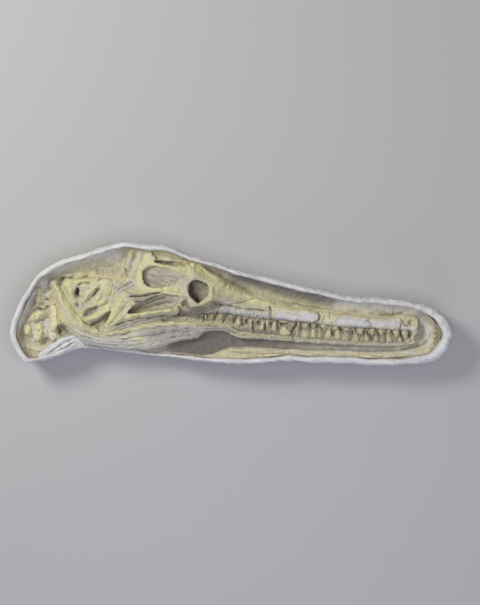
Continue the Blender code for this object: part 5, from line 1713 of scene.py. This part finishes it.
skin = skin + normal * np.clip(swell, -2.6, 2.4)[..., None]
skin[0, :, 2] = 0.0
skin[..., 2] = np.maximum(skin[..., 2], 0.0)

i = np.arange(STATIONS)[None, :]
j = (i + 1) % STATIONS
k = np.arange(ACROSS - 1)[:, None] * STATIONS
quads = np.stack([k + i, k + j, k + STATIONS + j, k + STATIONS + i], axis=2).reshape(-1, 4)
print("tray quads:", len(quads))

# %% [markdown]
# Plaster of Paris on burlap or gauze: matt, chalk white, slightly blue in the shade, with the
# weave of the cloth showing where the plaster is thin. The threads lie about 1.5 mm apart on
# the real cloth and are drawn at 3 mm here, because finer ones would not show.

# %% Plaster
THREAD_MM = 3.0
plaster, tree, shader = fresh_material("plaster_bandage", 0.88)
place = add(tree, "ShaderNodeTexCoord").outputs["Object"]
cloth = add(tree, "ShaderNodeUVMap", uv_map="cloth").outputs[0]
broad = add(tree, "ShaderNodeTexNoise", {"Vector": place, "Scale": 1000 / 70, "Detail": 4.0})
colour = two_shades(tree, broad.outputs[0], "#DDDCD9", "#D0CECB")
for tint, hex_colour in {"grey": "#A8A39A", "yellow": "#D2C79A", "brown": "#6E6048"}.items():
    layer = add(tree, "ShaderNodeAttribute", attribute_name=tint)
    colour = add(tree, "ShaderNodeMix", {0: layer.outputs["Fac"], 6: colour, 7: linear(hex_colour)},
                 data_type="RGBA").outputs[2]
tree.links.new(colour, shader.inputs["Base Color"])
# At a scale of 1 the node draws 20 bands to the unit.
threads = {"Vector": cloth, "Scale": 1000 / THREAD_MM / 20, "Distortion": 0.8}
warp, weft = (add(tree, "ShaderNodeTexWave", threads, bands_direction=way) for way in "XY")
weave = add(tree, "ShaderNodeMath", {0: warp.outputs["Fac"], 1: weft.outputs["Fac"]}, operation="ADD")
thin = add(tree, "ShaderNodeMapRange", {0: broad.outputs[0], 1: 0.45, 2: 0.62})
shown = add(tree, "ShaderNodeMath", {0: weave.outputs[0], 1: thin.outputs[0]}, operation="MULTIPLY")
dabs = add(tree, "ShaderNodeTexNoise", {"Vector": place, "Scale": 1000 / 5, "Detail": 5.0})
both = add(tree, "ShaderNodeMath", {0: shown.outputs[0], 1: dabs.outputs[0]}, operation="ADD")
bump = add(tree, "ShaderNodeBump", {"Height": both.outputs[0], "Distance": 0.5 * MM})
tree.links.new(bump.outputs[0], shader.inputs["Normal"])

# %% [markdown]
# Near the rear end a flap of the same cloth was laid over the rim from outside, and it ends in a
# few folds below the jaw. It is a relief like the bones: a sloping sheet with a rounded edge.

# %% The flap of bandage
FLAP = [
    (40, 351.6), (45, 348.6), (51, 344), (57, 340.4), (64, 337.2), (71, 335.4), (75, 336.2), (79, 339.4),
    (84, 343.6), (92, 346.8), (100, 348.6), (99, 350), (91, 349.6), (84, 349), (78, 349.4), (70, 351.6),
    (60, 354.6), (50, 357.4), (42, 358.4), (38, 357),
]
FLAP_REACH = 10.0
flap_depth = depth_of(FLAP)
flap = Relief(ROCK_LEVEL)
flap.settle([(20, 330), (120, 330), (120, 365), (20, 365)], [(45, 352, 96), (66, 340, 90), (88, 347, 76)])
marks(
    flap,
    fold_1=(5, 3.5, (44, 353.4), (52, 348.6), (60, 342.6), (68, 338), (75, 336.6)),
    fold_2=(5, 3, (48, 355.6), (58, 350), (66, 345), (74, 340)),
    fold_3=(5, 2.5, (58, 353.6), (68, 348.6), (78, 343.6)),
    fold_shade_1=(3.4, -5, (46, 354.8), (55, 348.8), (63, 343.6), (72, 338.4)),
    fold_shade_2=(3.4, -4, (56, 352), (64, 347.4), (74, 342)),
    torn_edge=(4, 2, (52, 344), (60, 339.6), (68, 336.8)),
)
flap.height += 0.8 * ripple(14, 95) + 0.3 * ripple(4, 96) - rounded_edge(flap_depth, FLAP_REACH)
# The grey along the flap's lower edge is painted shade.
stains(flap, "grey", under=(7, 0.5, (46, 355.6), (60, 350.6), (74, 343.6), (90, 348)))
place_piece(cut_piece("bandage_flap", flap_depth, flap, 58.0, plaster, soiled=0.0), "plaster")

# %% [markdown]
# The tray's skin becomes a mesh, closed by a flat face under the foot and one on the inner floor.
# Its inner wall gets a painted grey shade with brown in the gap at its foot, and a yellow stain of
# rock, and the foot of each strip's step gets a painted grey shade. The UV map holds the real
# length round the wall and up it, so that the weave follows the cloth.

# %% Build the tray
# The grey and brown on the inner wall and in the gap at its foot are painted shade, the yellow is a stain of
# rock, and the grey at the foot of each strip's step is painted shade.
inner = eased((share - 0.72) / 0.12)[:, None]
low_gap = eased((share - 0.84) / 0.06)[:, None]
tray_tints = {
    "grey": 0.45 * inner + 0.25 * eased(1 - strip / 0.05) * outer[:, None],
    "yellow": 0.25 * inner * eased(ripple(60, 91, x=sx, y=sy)),
    "brown": 0.4 * low_gap + 0 * sx,
}
ring = np.arange(STATIONS)
tray = mesh_piece("plaster_tray", skin.reshape(-1, 3), quads, plaster,
                  {tint: field.ravel() for tint, field in tray_tints.items()},
                  caps=(ring[::-1], ring + (ACROSS - 1) * STATIONS))
layer = tray.data.uv_layers.new(name="cloth")
level = height_on_wall * MM
rolled = np.roll(level, -1, axis=1)
corner_t = np.stack([level[:-1], rolled[:-1], rolled[1:], level[1:]], axis=2)
s = np.append(travel, travel[-1] + 3) * MM
corner_s = np.stack([s[i], s[i + 1], s[i + 1], s[i]], axis=2) + 0 * corner_t
flat = np.zeros((len(layer.data), 2), np.float32)
flat[: quads.size] = np.stack([corner_s, corner_t], axis=3).reshape(-1, 2)
layer.data.foreach_set("uv", flat.ravel())
place_piece(tray, "plaster", "plaster_jacket")

# %% [markdown]
# The stage: a pale floor, a large soft key light from the upper left, a broad fill from above
# and a faint cool light from the near side, which gives the plaster its lavender shade.

# %% Floor and lights
floor_look, tree, shader = fresh_material("pale_floor", 0.8)
shader.inputs["Base Color"].default_value = linear("#B9B8B6")
bpy.ops.mesh.primitive_plane_add(size=12.0, location=(0, 0, -0.0005))
floor = bpy.context.object
floor.name = "floor"
floor.data.materials.append(floor_look)

world = bpy.data.worlds.new("studio")
world.use_nodes = True
sky = world.node_tree.nodes["Background"].inputs
sky["Color"].default_value = linear("#DDE2EE")
sky["Strength"].default_value = 0.3
bpy.context.scene.world = world


def soft_light(name, location, size, power, colour):
    """A square area light that faces the middle of the tray."""
    data = bpy.data.lights.new(name, "AREA")
    data.size = size
    data.energy = power
    data.color = linear(colour)[:3]
    lamp = bpy.data.objects.new(name, data)
    lamp.location = location
    lamp.rotation_euler = (Vector((0, 0, 0.08)) - Vector(location)).to_track_quat("-Z", "Y").to_euler()
    bpy.context.scene.collection.objects.link(lamp)


soft_light("key", (-1.9, 1.5, 2.2), 0.9, 62.0, "#FFFDF8")
soft_light("fill", (0.6, -0.2, 3.2), 2.4, 37.0, "#F6F6FA")
soft_light("near", (0.2, -2.4, 0.9), 1.6, 16.0, "#B4BAF0")

# %% [markdown]
# The camera looks down on the tray a few degrees off the upright, as the photograph does. Its lens
# makes a pixel as wide as the plan says at this distance.

# %% Camera
PICTURE_WIDTH = 480
CAMERA_DISTANCE = 4.0
CAMERA_TILT = math.radians(5.5)
CAMERA_TARGET = (0.0225, 0.00125, 0.080)
camera_data = bpy.data.cameras.new("camera")
camera_data.sensor_fit = "HORIZONTAL"
camera_data.sensor_width = 36.0
camera_data.lens = camera_data.sensor_width * CAMERA_DISTANCE / (PICTURE_WIDTH * MM_PER_PIXEL * MM)
camera = bpy.data.objects.new("camera", camera_data)
x, y, z = CAMERA_TARGET
camera.location = (x, y + CAMERA_DISTANCE * math.sin(CAMERA_TILT),
                   z + CAMERA_DISTANCE * math.cos(CAMERA_TILT))
camera.rotation_euler = (-CAMERA_TILT, 0, 0)
bpy.context.scene.collection.objects.link(camera)
bpy.context.scene.camera = camera
bpy.context.scene.view_settings.view_transform = "Standard"
print("lens, mm:", round(camera_data.lens, 1))

# %% [markdown]
# Last, the script prints that it has finished.

# %% Finish
print("size written")
